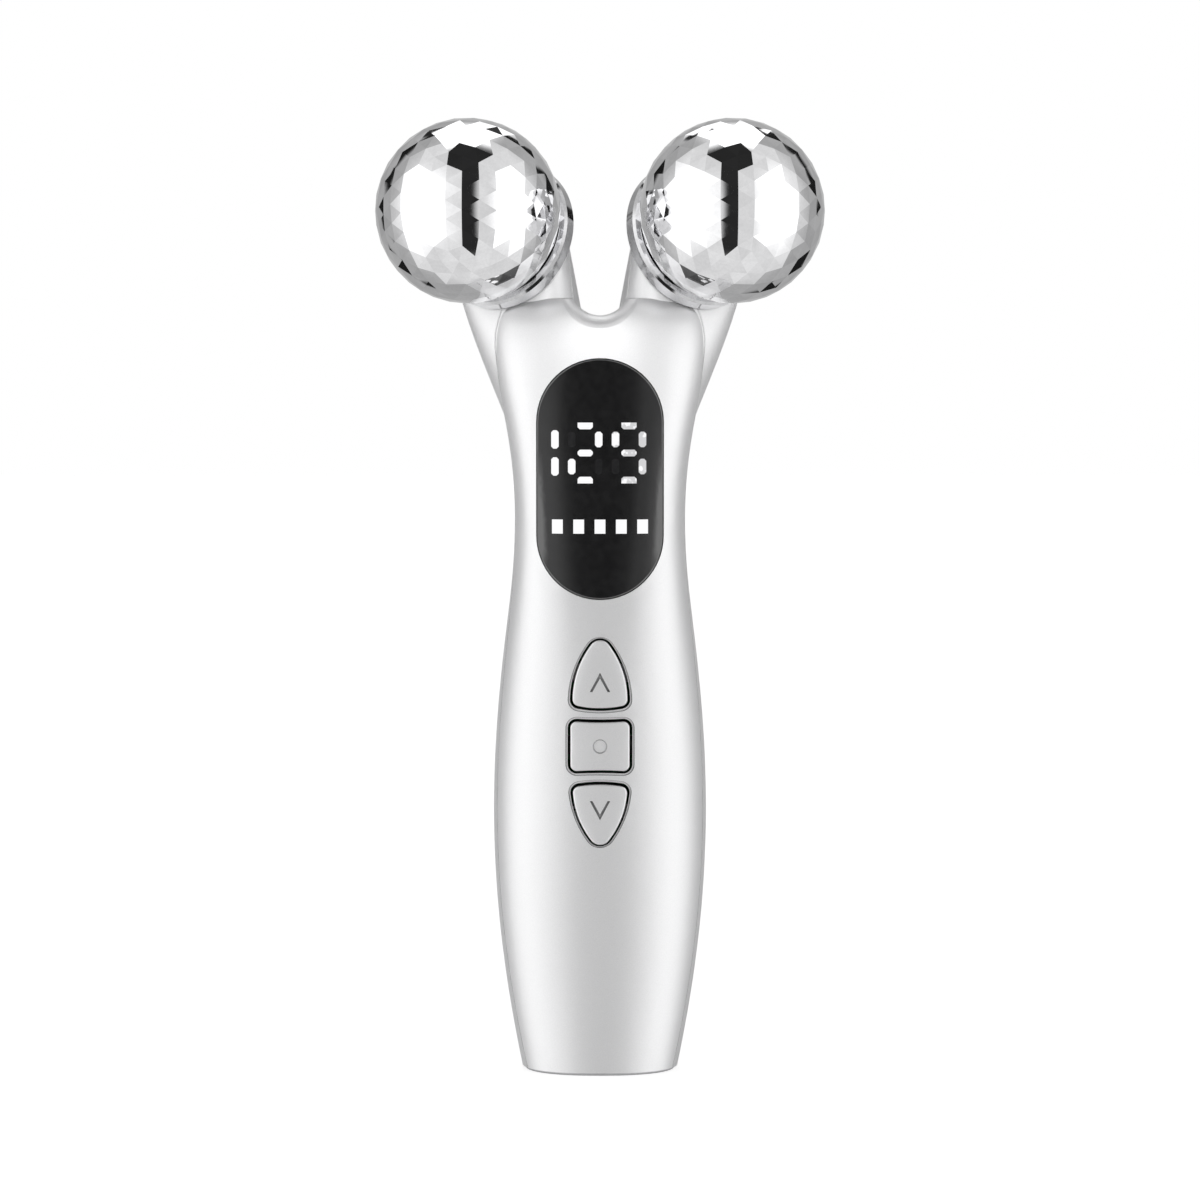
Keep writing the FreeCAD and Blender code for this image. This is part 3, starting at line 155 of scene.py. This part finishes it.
relief(tree, tracks.outputs["Fac"], track_height, shader)
dress(board_lacquer, "main_board")

chip_epoxy = grained_finish(
    "chip_epoxy", dark=(0.012, 0.012, 0.013), light=(0.03, 0.03, 0.032),
    metal=0.0, rough=(0.5, 0.65), scale=4000, height=1e-5)
dress(chip_epoxy, "controller_chip", "charging_chip")
screw_steel = grained_finish(
    "screw_steel", dark=(0.42, 0.42, 0.43), light=(0.55, 0.55, 0.56),
    metal=1.0, rough=(0.25, 0.4), scale=6000, height=3e-6)
dress(screw_steel, "board_screws", "base_screws")

# Key switches
# Three small dome switches of black nylon are soldered to the board behind the keys.
# A white plunger stands out of each and travels with its key.
switch_nylon = grained_finish(
    "switch_nylon", dark=(0.015, 0.015, 0.016), light=(0.035, 0.035, 0.036),
    metal=0.0, rough=(0.4, 0.6), scale=5000, height=5e-6)
dress(switch_nylon, "up_switch", "select_switch", "down_switch")
plunger_white = grained_finish(
    "plunger_white", dark=(0.74, 0.73, 0.7), light=(0.82, 0.81, 0.78),
    metal=0.0, rough=(0.4, 0.55), scale=3000, height=5e-6)
dress(plunger_white, "up_plunger", "select_plunger", "down_plunger")

# Battery
# A flat cell in a shrunk grey sleeve lies behind the board.
# A pad of black foam presses it against the ribs of the rear shell.
battery_sleeve = grained_finish(
    "battery_sleeve", dark=(0.32, 0.36, 0.42), light=(0.4, 0.44, 0.5),
    metal=0.1, rough=(0.28, 0.42), scale=700, height=4e-5)
dress(battery_sleeve, "battery")
black_foam = grained_finish(
    "black_foam", dark=(0.012, 0.012, 0.012), light=(0.05, 0.05, 0.05),
    metal=0.0, rough=(0.8, 0.95), scale=2500, height=6e-5)
dress(black_foam, "battery_foam")

# Charging port
# A drawn steel shell stands round a black tongue with gilded contacts on both faces.
# It is soldered to the foot of the board and looks out through the base cap.
port_steel = grained_finish(
    "port_steel", dark=(0.5, 0.5, 0.5), light=(0.62, 0.62, 0.62),
    metal=1.0, rough=(0.2, 0.35), scale=5000, height=2e-6)
dress(port_steel, "charging_port")
tongue_black = grained_finish(
    "tongue_black", dark=(0.01, 0.01, 0.01), light=(0.03, 0.03, 0.03),
    metal=0.0, rough=(0.4, 0.6), scale=5000, height=4e-6)
dress(tongue_black, "port_tongue")

contact_count = 12
contact_pitch = 0.0005
contact_width = 0.00026
contact_height = 0.00005
contact_inset = 0.0003
contact_length_share = 0.7
contact_rounding_share = 0.4
contact_rounding_steps = 2
tongue_low, tongue_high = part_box("port_tongue")
contact_length = contact_length_share * (tongue_high[2] - tongue_low[2])
bpy.ops.object.select_all(action="DESELECT")
bpy.ops.mesh.primitive_cube_add(size=1, location=(
    -(contact_count - 1) / 2 * contact_pitch,
    tongue_low[1] - contact_height / 2,
    tongue_low[2] + contact_inset + contact_length / 2))
contacts = bpy.context.active_object
contacts.name = "port_contacts"
bpy.ops.transform.resize(value=(contact_width, contact_height, contact_length))
bpy.ops.object.transform_apply(location=True, rotation=True, scale=True)
rounding = contacts.modifiers.new("rounding", "BEVEL")
rounding.width = contact_height * contact_rounding_share
rounding.segments = contact_rounding_steps
row = contacts.modifiers.new("row", "ARRAY")
row.count = contact_count
row.use_relative_offset = False
row.use_constant_offset = True
row.constant_offset_displace = (contact_pitch, 0, 0)
bpy.ops.object.modifier_apply(modifier="rounding")
bpy.ops.object.modifier_apply(modifier="row")
bpy.ops.object.mode_set(mode="EDIT")
bpy.ops.mesh.select_all(action="SELECT")
bpy.ops.mesh.duplicate()
bpy.ops.transform.translate(value=(0, tongue_high[1] - tongue_low[1] + contact_height, 0))
bpy.ops.object.mode_set(mode="OBJECT")
contact_gilt = grained_finish(
    "contact_gilt", dark=(0.75, 0.52, 0.18), light=(0.85, 0.62, 0.26),
    metal=1.0, rough=(0.2, 0.3), scale=6000, height=1e-6)
contacts.data.materials.append(contact_gilt)
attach(contacts, "handle")

# Axles and their fittings
# Each ball turns on a steel axle, clamped to the rear shell by a nut on a plastic carrier.
# A brass lug under the nut takes the lead from the board, so that the ball can carry a current.
axle_steel = grained_finish(
    "axle_steel", dark=(0.5, 0.5, 0.51), light=(0.64, 0.64, 0.65),
    metal=1.0, rough=(0.18, 0.3), scale=4000, height=2e-6)
bush_brass = grained_finish(
    "bush_brass", dark=(0.55, 0.38, 0.12), light=(0.72, 0.52, 0.2),
    metal=1.0, rough=(0.25, 0.4), scale=4000, height=3e-6)
carrier_plastic = grained_finish(
    "carrier_plastic", dark=(0.03, 0.03, 0.03), light=(0.06, 0.06, 0.06),
    metal=0.0, rough=(0.5, 0.65), scale=4000, height=1e-5)
lead_sleeve = grained_finish(
    "lead_sleeve", dark=(0.25, 0.01, 0.01), light=(0.38, 0.02, 0.02),
    metal=0.0, rough=(0.45, 0.6), scale=3000, height=5e-6)
for side in ("left", "right"):
    dress(axle_steel, f"{side}_axle", f"{side}_axle_clip", f"{side}_axle_nut", f"{side}_thrust_washer")
    dress(bush_brass, f"{side}_rear_bush", f"{side}_front_bush", f"{side}_contact_lug")
    dress(carrier_plastic, f"{side}_axle_carrier", f"{side}_ball_hub")
    dress(lead_sleeve, f"{side}_lead")

# Handle shells
# Two halves moulded in black plastic meet at a seam along the sides and hold everything else.
# They are sprayed outside with a fine silver paint under a satin lacquer, and stay bare black in the
# holes, a black that also stands in for the shade there.
# Their paint gets painted shade, a grey laid in corners and narrow gaps.
mask_span = (0.0, 1.0)
falling = (1.0, 0.0)
paint_dark = (0.78, 0.78, 0.785)
paint_light = (0.86, 0.86, 0.865)
paint_metal = 0.68
paint_rough = (0.44, 0.5)
flake_scale = 9000
flake_height = 1e-6
# Bare black plastic in the holes, which also stands in for the shade in the gaps.
bare_black_and_gap_shade = (0.012, 0.012, 0.013)
hole_margin = 0.0009
square_span = (0.35, 0.55)
# Painted shade: the grey laid over the paint in corners and narrow gaps, found by an occlusion mask.
painted_shade_grey = (0.12, 0.12, 0.12)
painted_shade_reach = 0.0004
painted_shade_span = (0.3, 0.85)
painted_shade_samples = 8


def worked_out(tree, operation, first, second=None):
    """One step of arithmetic on grey values."""
    step = tree.nodes.new("ShaderNodeMath")
    step.operation = operation
    for socket, term in zip(step.inputs, (first, second)):
        if isinstance(term, (int, float)):
            socket.default_value = term
        elif term is not None:
            tree.links.new(term, socket)
    return step.outputs["Value"]


def all_of(tree, *masks):
    """A mask that holds where all of several masks hold."""
    held = masks[0]
    for mask in masks[1:]:
        held = worked_out(tree, "MULTIPLY", held, mask)
    return held


def parts_of(tree, output):
    """The place of a point, or the way it faces, as x, y and z."""
    source = tree.nodes.new("ShaderNodeTexCoord")
    parts = tree.nodes.new("ShaderNodeSeparateXYZ")
    tree.links.new(source.outputs[output], parts.inputs["Vector"])
    return parts.outputs["X"], parts.outputs["Y"], parts.outputs["Z"]


def blended(tree, mask, base, over):
    """One colour laid over another by a mask."""
    blend = tree.nodes.new("ShaderNodeMix")
    blend.data_type = "RGBA"
    tree.links.new(mask, blend.inputs["Factor"])
    tree.links.new(base, blend.inputs["A"])
    blend.inputs["B"].default_value = (*over, 1)
    return blend.outputs["Result"]


def front_facing(tree):
    """How squarely the surface faces the front or the back, from 0 to 1."""
    return worked_out(tree, "ABSOLUTE", parts_of(tree, "Normal")[1])


def hole_walls(tree, low, high):
    """A mask of the walls that stand square to the front within a part of it."""
    x, _, z = parts_of(tree, "Object")
    across = worked_out(tree, "ABSOLUTE", x)
    within = soft_step(tree, across, (high[0] + hole_margin, high[0] + 2 * hole_margin), falling)
    above = soft_step(tree, z, (low[2] - 2 * hole_margin, low[2] - hole_margin))
    below = soft_step(tree, z, (high[2] + hole_margin, high[2] + 2 * hole_margin), falling)
    square = soft_step(tree, front_facing(tree), square_span, falling)
    return all_of(tree, within, above, below, square)


def painted_corner_shade(tree):
    """A mask of the corners and narrow gaps, where a grey is laid as painted shade."""
    hollow = tree.nodes.new("ShaderNodeAmbientOcclusion")
    hollow.samples = painted_shade_samples
    hollow.inputs["Distance"].default_value = painted_shade_reach
    return soft_step(tree, hollow.outputs["AO"], painted_shade_span, falling)


keys_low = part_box("down_button")[0]
keys_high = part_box("up_button")[1]
lens_low, lens_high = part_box("display_lens")
silver_satin, tree, shader = new_finish("silver_satin")
flakes = grain(tree, flake_scale)
key_holes = hole_walls(tree, keys_low, keys_high)
lens_hole = hole_walls(tree, lens_low, lens_high)
# The holes' walls are bare black, which also stands in for the shade in them.
bare_and_shaded = worked_out(tree, "MAXIMUM", key_holes, lens_hole)
# Painted shade greys the paint in corners and narrow gaps.
coat_and_shade = blended(tree, painted_corner_shade(tree), tint(tree, flakes, paint_dark, paint_light), painted_shade_grey)
tree.links.new(blended(tree, bare_and_shaded, coat_and_shade, bare_black_and_gap_shade), shader.inputs["Base Color"])
tree.links.new(soft_step(tree, bare_and_shaded, mask_span, (paint_metal, 0.0)), shader.inputs["Metallic"])
tree.links.new(soft_step(tree, flakes, grain_span, paint_rough), shader.inputs["Roughness"])
relief(tree, flakes, flake_height, shader)
dress(silver_satin, "front_shell", "rear_shell")

# Base cap
# A moulded cap closes the foot of the handle, sprayed in a darker silver than the shells.
# Two screws hold it to posts inside the rear shell.
base_grey = grained_finish(
    "base_grey", dark=(0.5, 0.5, 0.51), light=(0.6, 0.6, 0.61),
    metal=0.4, rough=(0.4, 0.5), scale=6000, height=6e-6)
dress(base_grey, "base_cap")

# Display
# A crowned pill of glossy black plastic is glued on a soft ring into the front shell.
# Along its rounded edge a narrow band is painted lighter grey, a painted highlight.
# White light guides reach its face from the lamps of the block behind.
module_white = grained_finish(
    "module_white", dark=(0.72, 0.72, 0.7), light=(0.8, 0.8, 0.78),
    metal=0.0, rough=(0.4, 0.55), scale=3000, height=5e-6)
dress(module_white, "display_module")
dress(black_foam, "lens_gasket")

smoke_dark = (0.007, 0.007, 0.0075)
smoke_light = (0.01, 0.01, 0.0105)
smoke_scale = 400
pane_rough = (0.2, 0.26)
pane_grain_scale = 900
# Painted highlight: a lighter grey for the band along the lens's rounded edge.
edge_highlight_grey = (0.13, 0.13, 0.13)
edge_highlight_inner_span = (0.93, 0.96)
edge_highlight_outer_span = (0.55, 0.7)
pane_black, tree, shader = new_finish("pane_black")
facing = front_facing(tree)
# Painted highlight where the lens's edge turns away from the front.
edge_highlight = all_of(tree, soft_step(tree, facing, edge_highlight_inner_span, falling),
                soft_step(tree, facing, edge_highlight_outer_span))
smoke = tint(tree, grain(tree, smoke_scale), smoke_dark, smoke_light)
tree.links.new(blended(tree, edge_highlight, smoke, edge_highlight_grey), shader.inputs["Base Color"])
pane_grain = grain(tree, pane_grain_scale)
tree.links.new(soft_step(tree, pane_grain, grain_span, pane_rough), shader.inputs["Roughness"])
dress(pane_black, "display_lens")

guide_black = (0.02, 0.02, 0.02, 1)
guide_rough = 0.3
glow_strength = 1.0
glow_full = (0.96, 0.96, 0.97)
glow_dimmed = (0.62, 0.62, 0.63)
dim_across_span = (0.0, 0.002)
dim_rise = 0.006
dim_scale = 500
dim_grain_span = (0.38, 0.55)
lit_guide, tree, shader = new_finish("lit_guide")
shader.inputs["Base Color"].default_value = guide_black
shader.inputs["Roughness"].default_value = guide_rough
shader.inputs["Emission Strength"].default_value = glow_strength
x, _, z = parts_of(tree, "Object")
bars_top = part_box("level_bars")[1][2]
dim = all_of(tree, soft_step(tree, x, dim_across_span),
             soft_step(tree, z, (bars_top, bars_top + dim_rise)),
             soft_step(tree, grain(tree, dim_scale), dim_grain_span))
tree.links.new(tint(tree, dim, glow_full, glow_dimmed), shader.inputs["Emission Color"])
dress(lit_guide, "lit_segments", "level_bars")

unlit_guide = grained_finish(
    "unlit_guide", dark=(0.014, 0.014, 0.015), light=(0.019, 0.019, 0.02),
    metal=0.0, rough=(0.2, 0.26), scale=2000, height=1e-7)
dress(unlit_guide, "unlit_segments")

# Keys
# Three caps moulded in black plastic stand a little proud of the shell in narrow gaps; their bare black
# sides also stand in for the shade in the gaps.
# Their faces are sprayed as the shell is, the outer two over a cut arrow, the middle one over a dimple.
# The arrows and the dimple's wall are painted darker and the faces' corners greyed, as painted shade; the
# dimple's floor is painted lighter, as a painted highlight.
merge_distance = 1e-6
mark_half_width = 0.0019
mark_depth = 0.0006
mark_heights = (0.2, 0.8)
mark_deeper = 0.0002
steep_share = 0.7
dimple_taper = 0.84
shaded_bare_lean = -0.3
painted_half_widths = {"up": 0.0047, "select": 0.0052, "down": 0.0047}
smooth_angle = math.radians(32)


def merged_copy(node, name):
    """A copy of a solid with its triangles joined, to be worked on in its place."""
    bpy.ops.object.select_all(action="DESELECT")
    solid = frame["nodes"][node]
    solid.select_set(True)
    bpy.context.view_layer.objects.active = solid
    bpy.ops.object.duplicate()
    piece = bpy.context.active_object
    piece.name = name
    piece.parent = None
    del piece["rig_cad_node"]
    bpy.ops.mesh.customdata_custom_splitnormals_clear()
    bpy.ops.object.mode_set(mode="EDIT")
    bpy.ops.mesh.select_all(action="SELECT")
    bpy.ops.mesh.remove_doubles(threshold=merge_distance)
    bpy.ops.object.mode_set(mode="OBJECT")
    return piece


def in_mark(point, key_low, key_high):
    """Whether a point lies in the mark on a cap's face."""
    height = (point.z - key_low[2]) / (key_high[2] - key_low[2])
    near_middle = abs(point.x) < mark_half_width and mark_heights[0] < height < mark_heights[1]
    return near_middle and point.y < key_low[1] + mark_depth


def sunk_corners(mesh, key_low, key_high):
    """The corners of a mark's floor: the deeper ends of the steep edges of its walls."""
    corners = set()
    for edge in mesh.edges:
        shallow, deep = sorted(edge.vertices, key=lambda corner: mesh.vertices[corner].co.y)
        span = mesh.vertices[deep].co - mesh.vertices[shallow].co
        if span.y > steep_share * span.length and in_mark(mesh.vertices[deep].co, key_low, key_high):
            corners.add(deep)
    return corners


def satin_paint(name, dark, light, shade_in_corners):
    """Silver paint with a fine flake, as it is sprayed on a cap, with painted shade in its corners when
    asked.
    """
    finish, tree, shader = new_finish(name)
    shader.inputs["Metallic"].default_value = paint_metal
    flakes = grain(tree, flake_scale)
    coat_and_shade = tint(tree, flakes, dark, light)
    # Painted shade in the corners, when asked.
    if shade_in_corners:
        coat_and_shade = blended(tree, painted_corner_shade(tree), coat_and_shade, painted_shade_grey)
    tree.links.new(coat_and_shade, shader.inputs["Base Color"])
    tree.links.new(soft_step(tree, flakes, grain_span, paint_rough), shader.inputs["Roughness"])
    relief(tree, flakes, flake_height, shader)
    return finish


# The caps' paint gets painted shade in its corners.
satin_cap = satin_paint("satin_cap", dark=paint_dark, light=paint_light, shade_in_corners=True)
# Bare black plastic on the caps' sides, which also stands in for the shade in the gaps.
cap_black_and_gap_shade = grained_finish(
    "cap_black_and_gap_shade", dark=(0.01, 0.01, 0.01), light=(0.016, 0.016, 0.016),
    metal=0.0, rough=(0.5, 0.65), scale=4000, height=5e-6)
# Painted shade: the arrow grooves and the dimple's wall are painted darker.
mark_painted_shade = satin_paint(
    "mark_painted_shade", dark=(0.36, 0.36, 0.365), light=(0.46, 0.46, 0.465), shade_in_corners=True)
# Painted highlight: the dimple's floor is painted lighter than the cap.
dimple_painted_highlight = satin_paint(
    "dimple_painted_highlight", dark=(0.88, 0.88, 0.885), light=(0.94, 0.94, 0.945), shade_in_corners=False)
face_slot, shaded_bare_slot, mark_shade_slot, dimple_highlight_slot = range(4)
for key, painted_half_width in painted_half_widths.items():
    node = f"{key}_button"
    cap = merged_copy(node, f"{key}_cap")
    key_low, key_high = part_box(node)
    cap.material_slots[face_slot].material = satin_cap
    for finish in (cap_black_and_gap_shade, mark_painted_shade, dimple_painted_highlight):
        cap.data.materials.append(finish)
    sunk = sunk_corners(cap.data, key_low, key_high)
    # Mark faces get painted shade, the dimple's floor a painted highlight, and the caps' sides a black
    # that also stands in for the gap shade.
    for face in cap.data.polygons:
        side_wall = face.normal.y > shaded_bare_lean and not in_mark(face.center, key_low, key_high)
        if sunk.issuperset(face.vertices):
            face.material_index = dimple_highlight_slot if key == "select" else mark_shade_slot
        elif sunk.intersection(face.vertices):
            face.material_index = mark_shade_slot
        elif side_wall or abs(face.center.x) > painted_half_width:
            face.material_index = shaded_bare_slot
        else:
            face.material_index = face_slot

    bpy.ops.object.mode_set(mode="EDIT")
    bpy.ops.mesh.select_mode(type="VERT")
    bpy.ops.mesh.select_all(action="DESELECT")
    bpy.ops.object.mode_set(mode="OBJECT")
    for corner in sunk:
        cap.data.vertices[corner].select = True
    bpy.ops.object.mode_set(mode="EDIT")
    bpy.ops.transform.translate(value=(0, mark_deeper, 0))
    if key == "select":
        bpy.ops.transform.resize(value=(dimple_taper, 1, dimple_taper),
                                 center_override=(0, 0, (key_low[2] + key_high[2]) / 2))
    bpy.ops.object.mode_set(mode="OBJECT")
    bpy.ops.object.shade_smooth_by_angle(angle=smooth_angle)
    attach(cap, f"{key}_key")
    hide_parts(node)

# Collars
# A smooth ring covers the end of each arm, behind its ball.
# It is moulded and plated bright, and stands still while the ball turns before it.
plated = grained_finish(
    "plated", dark=(0.62, 0.62, 0.63), light=(0.7, 0.7, 0.71),
    metal=1.0, rough=(0.06, 0.1), scale=3000, height=5e-7)
dress(plated, "left_collar", "right_collar")

# Balls
# Each ball is a hollow plastic moulding with small flat facets, plated bright.
# Polishing leaves the facets slightly domed, so the shading leans them towards the round of the ball.
# Each is pressed onto a plastic hub, so that it turns about its own axle.
dome_share = 0.2


def vector_step(tree, operation, first, second=None):
    """One step of arithmetic on vectors."""
    step = tree.nodes.new("ShaderNodeVectorMath")
    step.operation = operation
    tree.links.new(first, step.inputs[0])
    if isinstance(second, tuple):
        step.inputs[1].default_value = second
    elif second is not None:
        tree.links.new(second, step.inputs[1])
    return step.outputs["Vector"]


def scaled(tree, vector, share):
    """A share of a vector."""
    return vector_step(tree, "MULTIPLY", vector, (share, share, share))


for side in ("left", "right"):
    ball_low, ball_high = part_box(f"{side}_ball_shell")
    ball_middle = tuple((low + high) / 2 for low, high in zip(ball_low, ball_high))
    polished = grained_finish(
        f"polished_{side}", dark=(0.86, 0.86, 0.87), light=(0.92, 0.92, 0.93),
        metal=1.0, rough=(0.02, 0.05), scale=2000)
    tree = polished.node_tree
    shader = tree.nodes["Principled BSDF"]
    place = tree.nodes.new("ShaderNodeTexCoord")
    from_middle = vector_step(tree, "SUBTRACT", place.outputs["Object"], ball_middle)
    turned = tree.nodes.new("ShaderNodeVectorTransform")
    turned.vector_type = "NORMAL"
    turned.convert_from = "OBJECT"
    turned.convert_to = "WORLD"
    tree.links.new(vector_step(tree, "NORMALIZE", from_middle), turned.inputs["Vector"])
    facet = tree.nodes.new("ShaderNodeNewGeometry")
    leaned = vector_step(tree, "ADD", scaled(tree, facet.outputs["Normal"], 1 - dome_share),
                         scaled(tree, turned.outputs["Vector"], dome_share))
    tree.links.new(vector_step(tree, "NORMALIZE", leaned), shader.inputs["Normal"])
    dress(polished, f"{side}_ball_shell")

# Floor
# A square sheet of white paper lies under the object.
# It runs into the white behind it without an edge, and keeps the object's shadow.
floor_size = 4.0
paper_white = (0.9, 0.9, 0.9, 1)
shine_strength = 1.35
shine_share = 0.55
bpy.ops.object.select_all(action="DESELECT")
bpy.ops.mesh.primitive_plane_add(size=floor_size, location=(0, 0, 0))
floor = bpy.context.active_object
floor.name = "floor"
floor_sheet = bpy.data.materials.new("floor_sheet")
floor_sheet.use_nodes = True
tree = floor_sheet.node_tree
tree.nodes.clear()
paper = tree.nodes.new("ShaderNodeBsdfDiffuse")
paper.inputs["Color"].default_value = paper_white
shine = tree.nodes.new("ShaderNodeEmission")
shine.inputs["Strength"].default_value = shine_strength
ray = tree.nodes.new("ShaderNodeLightPath")
seen = worked_out(tree, "MAXIMUM", ray.outputs["Is Camera Ray"], ray.outputs["Is Transmission Ray"])
blend = tree.nodes.new("ShaderNodeMixShader")
out = tree.nodes.new("ShaderNodeOutputMaterial")
tree.links.new(worked_out(tree, "MULTIPLY", seen, shine_share), blend.inputs["Fac"])
tree.links.new(paper.outputs["BSDF"], blend.inputs[1])
tree.links.new(shine.outputs["Emission"], blend.inputs[2])
tree.links.new(blend.outputs["Shader"], out.inputs["Surface"])
floor.data.materials.append(floor_sheet)
floor.visible_glossy = False

# Studio light
# White soft boxes stand left and right of a dark slot on the viewer's side, under a white roof.
# Grey walls close the room, with a broken dark ring round the middle of the far one.
# A small lamp above the front lights the neck of the handle.
left_box_across = (-0.85, -0.05)
left_box_end = (-0.1, 0.2)
right_box_across = (0.45, 0.6)
right_box_end = (-0.2, 0.05)
box_foot = (-0.75, -0.5)
box_top = (0.6, 0.8)
roof_front = (-0.02, 0.05)
roof_back = (0.75, 0.82)
roof_foot = (0.5, 0.6)
roof_side = (0.3, 0.4)
lit_level = 1.6
side_wall_span = (0.1, 0.35)
side_wall_levels = (0.77, 0.4)
far_wall_span = (0.88, 0.98)
far_wall_levels = (0.0, 0.14)
slot_flare = (0.72, 0.86)
slot_half_widths = (0.16, 0.33)
slot_blur = (-0.03, 0.03)
slot_end = (-0.05, 0.05)
slot_foot = (-0.82, -0.72)
ring_front = (0.56, 0.6)
ring_back = (0.72, 0.76)
ring_side = (0.16, 0.2)
ring_break_scale = 6.0
ring_break_span = (0.44, 0.5)
dark_levels = (1.0, 0.03)
uneven_scale = 5.0
uneven_levels = (0.9, 1.08)
backdrop_level = 1.0


def cloud(tree, scale):
    """Soft noise over the directions of the studio, as a grey value."""
    direction = tree.nodes.new("ShaderNodeTexCoord")
    noise = tree.nodes.new("ShaderNodeTexNoise")
    noise.inputs["Scale"].default_value = scale
    tree.links.new(direction.outputs["Generated"], noise.inputs["Vector"])
    return noise.outputs["Fac"]


studio = bpy.data.worlds.new("studio")
bpy.context.scene.world = studio
studio.use_nodes = True
tree = studio.node_tree
tree.nodes.clear()
x, y, z = parts_of(tree, "Generated")
across = worked_out(tree, "ABSOLUTE", x)
left_box = all_of(tree, soft_step(tree, x, left_box_across, falling),
                  soft_step(tree, y, left_box_end, falling))
right_box = all_of(tree, soft_step(tree, x, right_box_across), soft_step(tree, y, right_box_end, falling))
boxes = all_of(tree, worked_out(tree, "ADD", left_box, right_box),
               soft_step(tree, z, box_foot), soft_step(tree, z, box_top, falling))
roof = all_of(tree, soft_step(tree, y, roof_front), soft_step(tree, y, roof_back, falling),
              soft_step(tree, z, roof_foot), soft_step(tree, across, roof_side, falling))
lit = worked_out(tree, "MAXIMUM", boxes, roof)
wall = worked_out(tree, "ADD", soft_step(tree, y, side_wall_span, side_wall_levels),
                  soft_step(tree, y, far_wall_span, far_wall_levels))
gain = worked_out(tree, "MULTIPLY", lit, worked_out(tree, "SUBTRACT", lit_level, wall))
bright = worked_out(tree, "ADD", wall, gain)
slot_half_width = soft_step(tree, z, slot_flare, slot_half_widths)
slot = all_of(tree, soft_step(tree, worked_out(tree, "SUBTRACT", slot_half_width, across), slot_blur),
              soft_step(tree, y, slot_end, falling), soft_step(tree, z, slot_foot))
ring = all_of(tree, soft_step(tree, y, ring_front), soft_step(tree, y, ring_back, falling),
              soft_step(tree, across, ring_side),
              soft_step(tree, cloud(tree, ring_break_scale), ring_break_span))
shade = soft_step(tree, worked_out(tree, "MAXIMUM", slot, ring), mask_span, dark_levels)
uneven = soft_step(tree, cloud(tree, uneven_scale), grain_span, uneven_levels)
ray = tree.nodes.new("ShaderNodeLightPath")
shown = tree.nodes.new("ShaderNodeMix")
shown.data_type = "FLOAT"
tree.links.new(ray.outputs["Is Camera Ray"], shown.inputs["Factor"])
tree.links.new(all_of(tree, bright, shade, uneven), shown.inputs["A"])
shown.inputs["B"].default_value = backdrop_level
background = tree.nodes.new("ShaderNodeBackground")
background.inputs["Color"].default_value = (1, 1, 1, 1)
tree.links.new(shown.outputs["Result"], background.inputs["Strength"])
out = tree.nodes.new("ShaderNodeOutputWorld")
tree.links.new(background.outputs["Background"], out.inputs["Surface"])

lamp_size = 0.04
lamp_spread = math.radians(20)
lamp_energy = 0.0015
lamp_place = (0, -0.22, 0.19)
lamp_tilt = math.radians(76)
neck_lamp = bpy.data.lights.new("neck_lamp", "AREA")
neck_lamp.size = lamp_size
neck_lamp.spread = lamp_spread
neck_lamp.energy = lamp_energy
neck_light = bpy.data.objects.new("neck_light", neck_lamp)
bpy.context.scene.collection.objects.link(neck_light)
neck_light.location = lamp_place
neck_light.rotation_euler = (lamp_tilt, 0, 0)
lit_shells = bpy.data.collections.new("lit_shells")
for name in ("front_shell", "rear_shell"):
    lit_shells.objects.link(frame["nodes"][name])
neck_light.light_linking.receiver_collection = lit_shells

# Camera
# It stands well away, a little below the middle of the balls, and looks slightly down.
# Its long lens keeps the sides of the handle nearly free of perspective.
lens_length = 120.9
sensor_width = 36
lens_shift = -0.06
camera_place = (0, -0.7, 0.14)
camera_dip = 3.71
lens = bpy.data.cameras.new("camera")
lens.lens = lens_length
lens.sensor_width = sensor_width
lens.shift_y = lens_shift
camera = bpy.data.objects.new("camera", lens)
bpy.context.scene.collection.objects.link(camera)
camera.location = camera_place
camera.rotation_euler = (math.radians(90 - camera_dip), 0, 0)
bpy.context.scene.camera = camera
bpy.context.scene.view_settings.view_transform = "Standard"
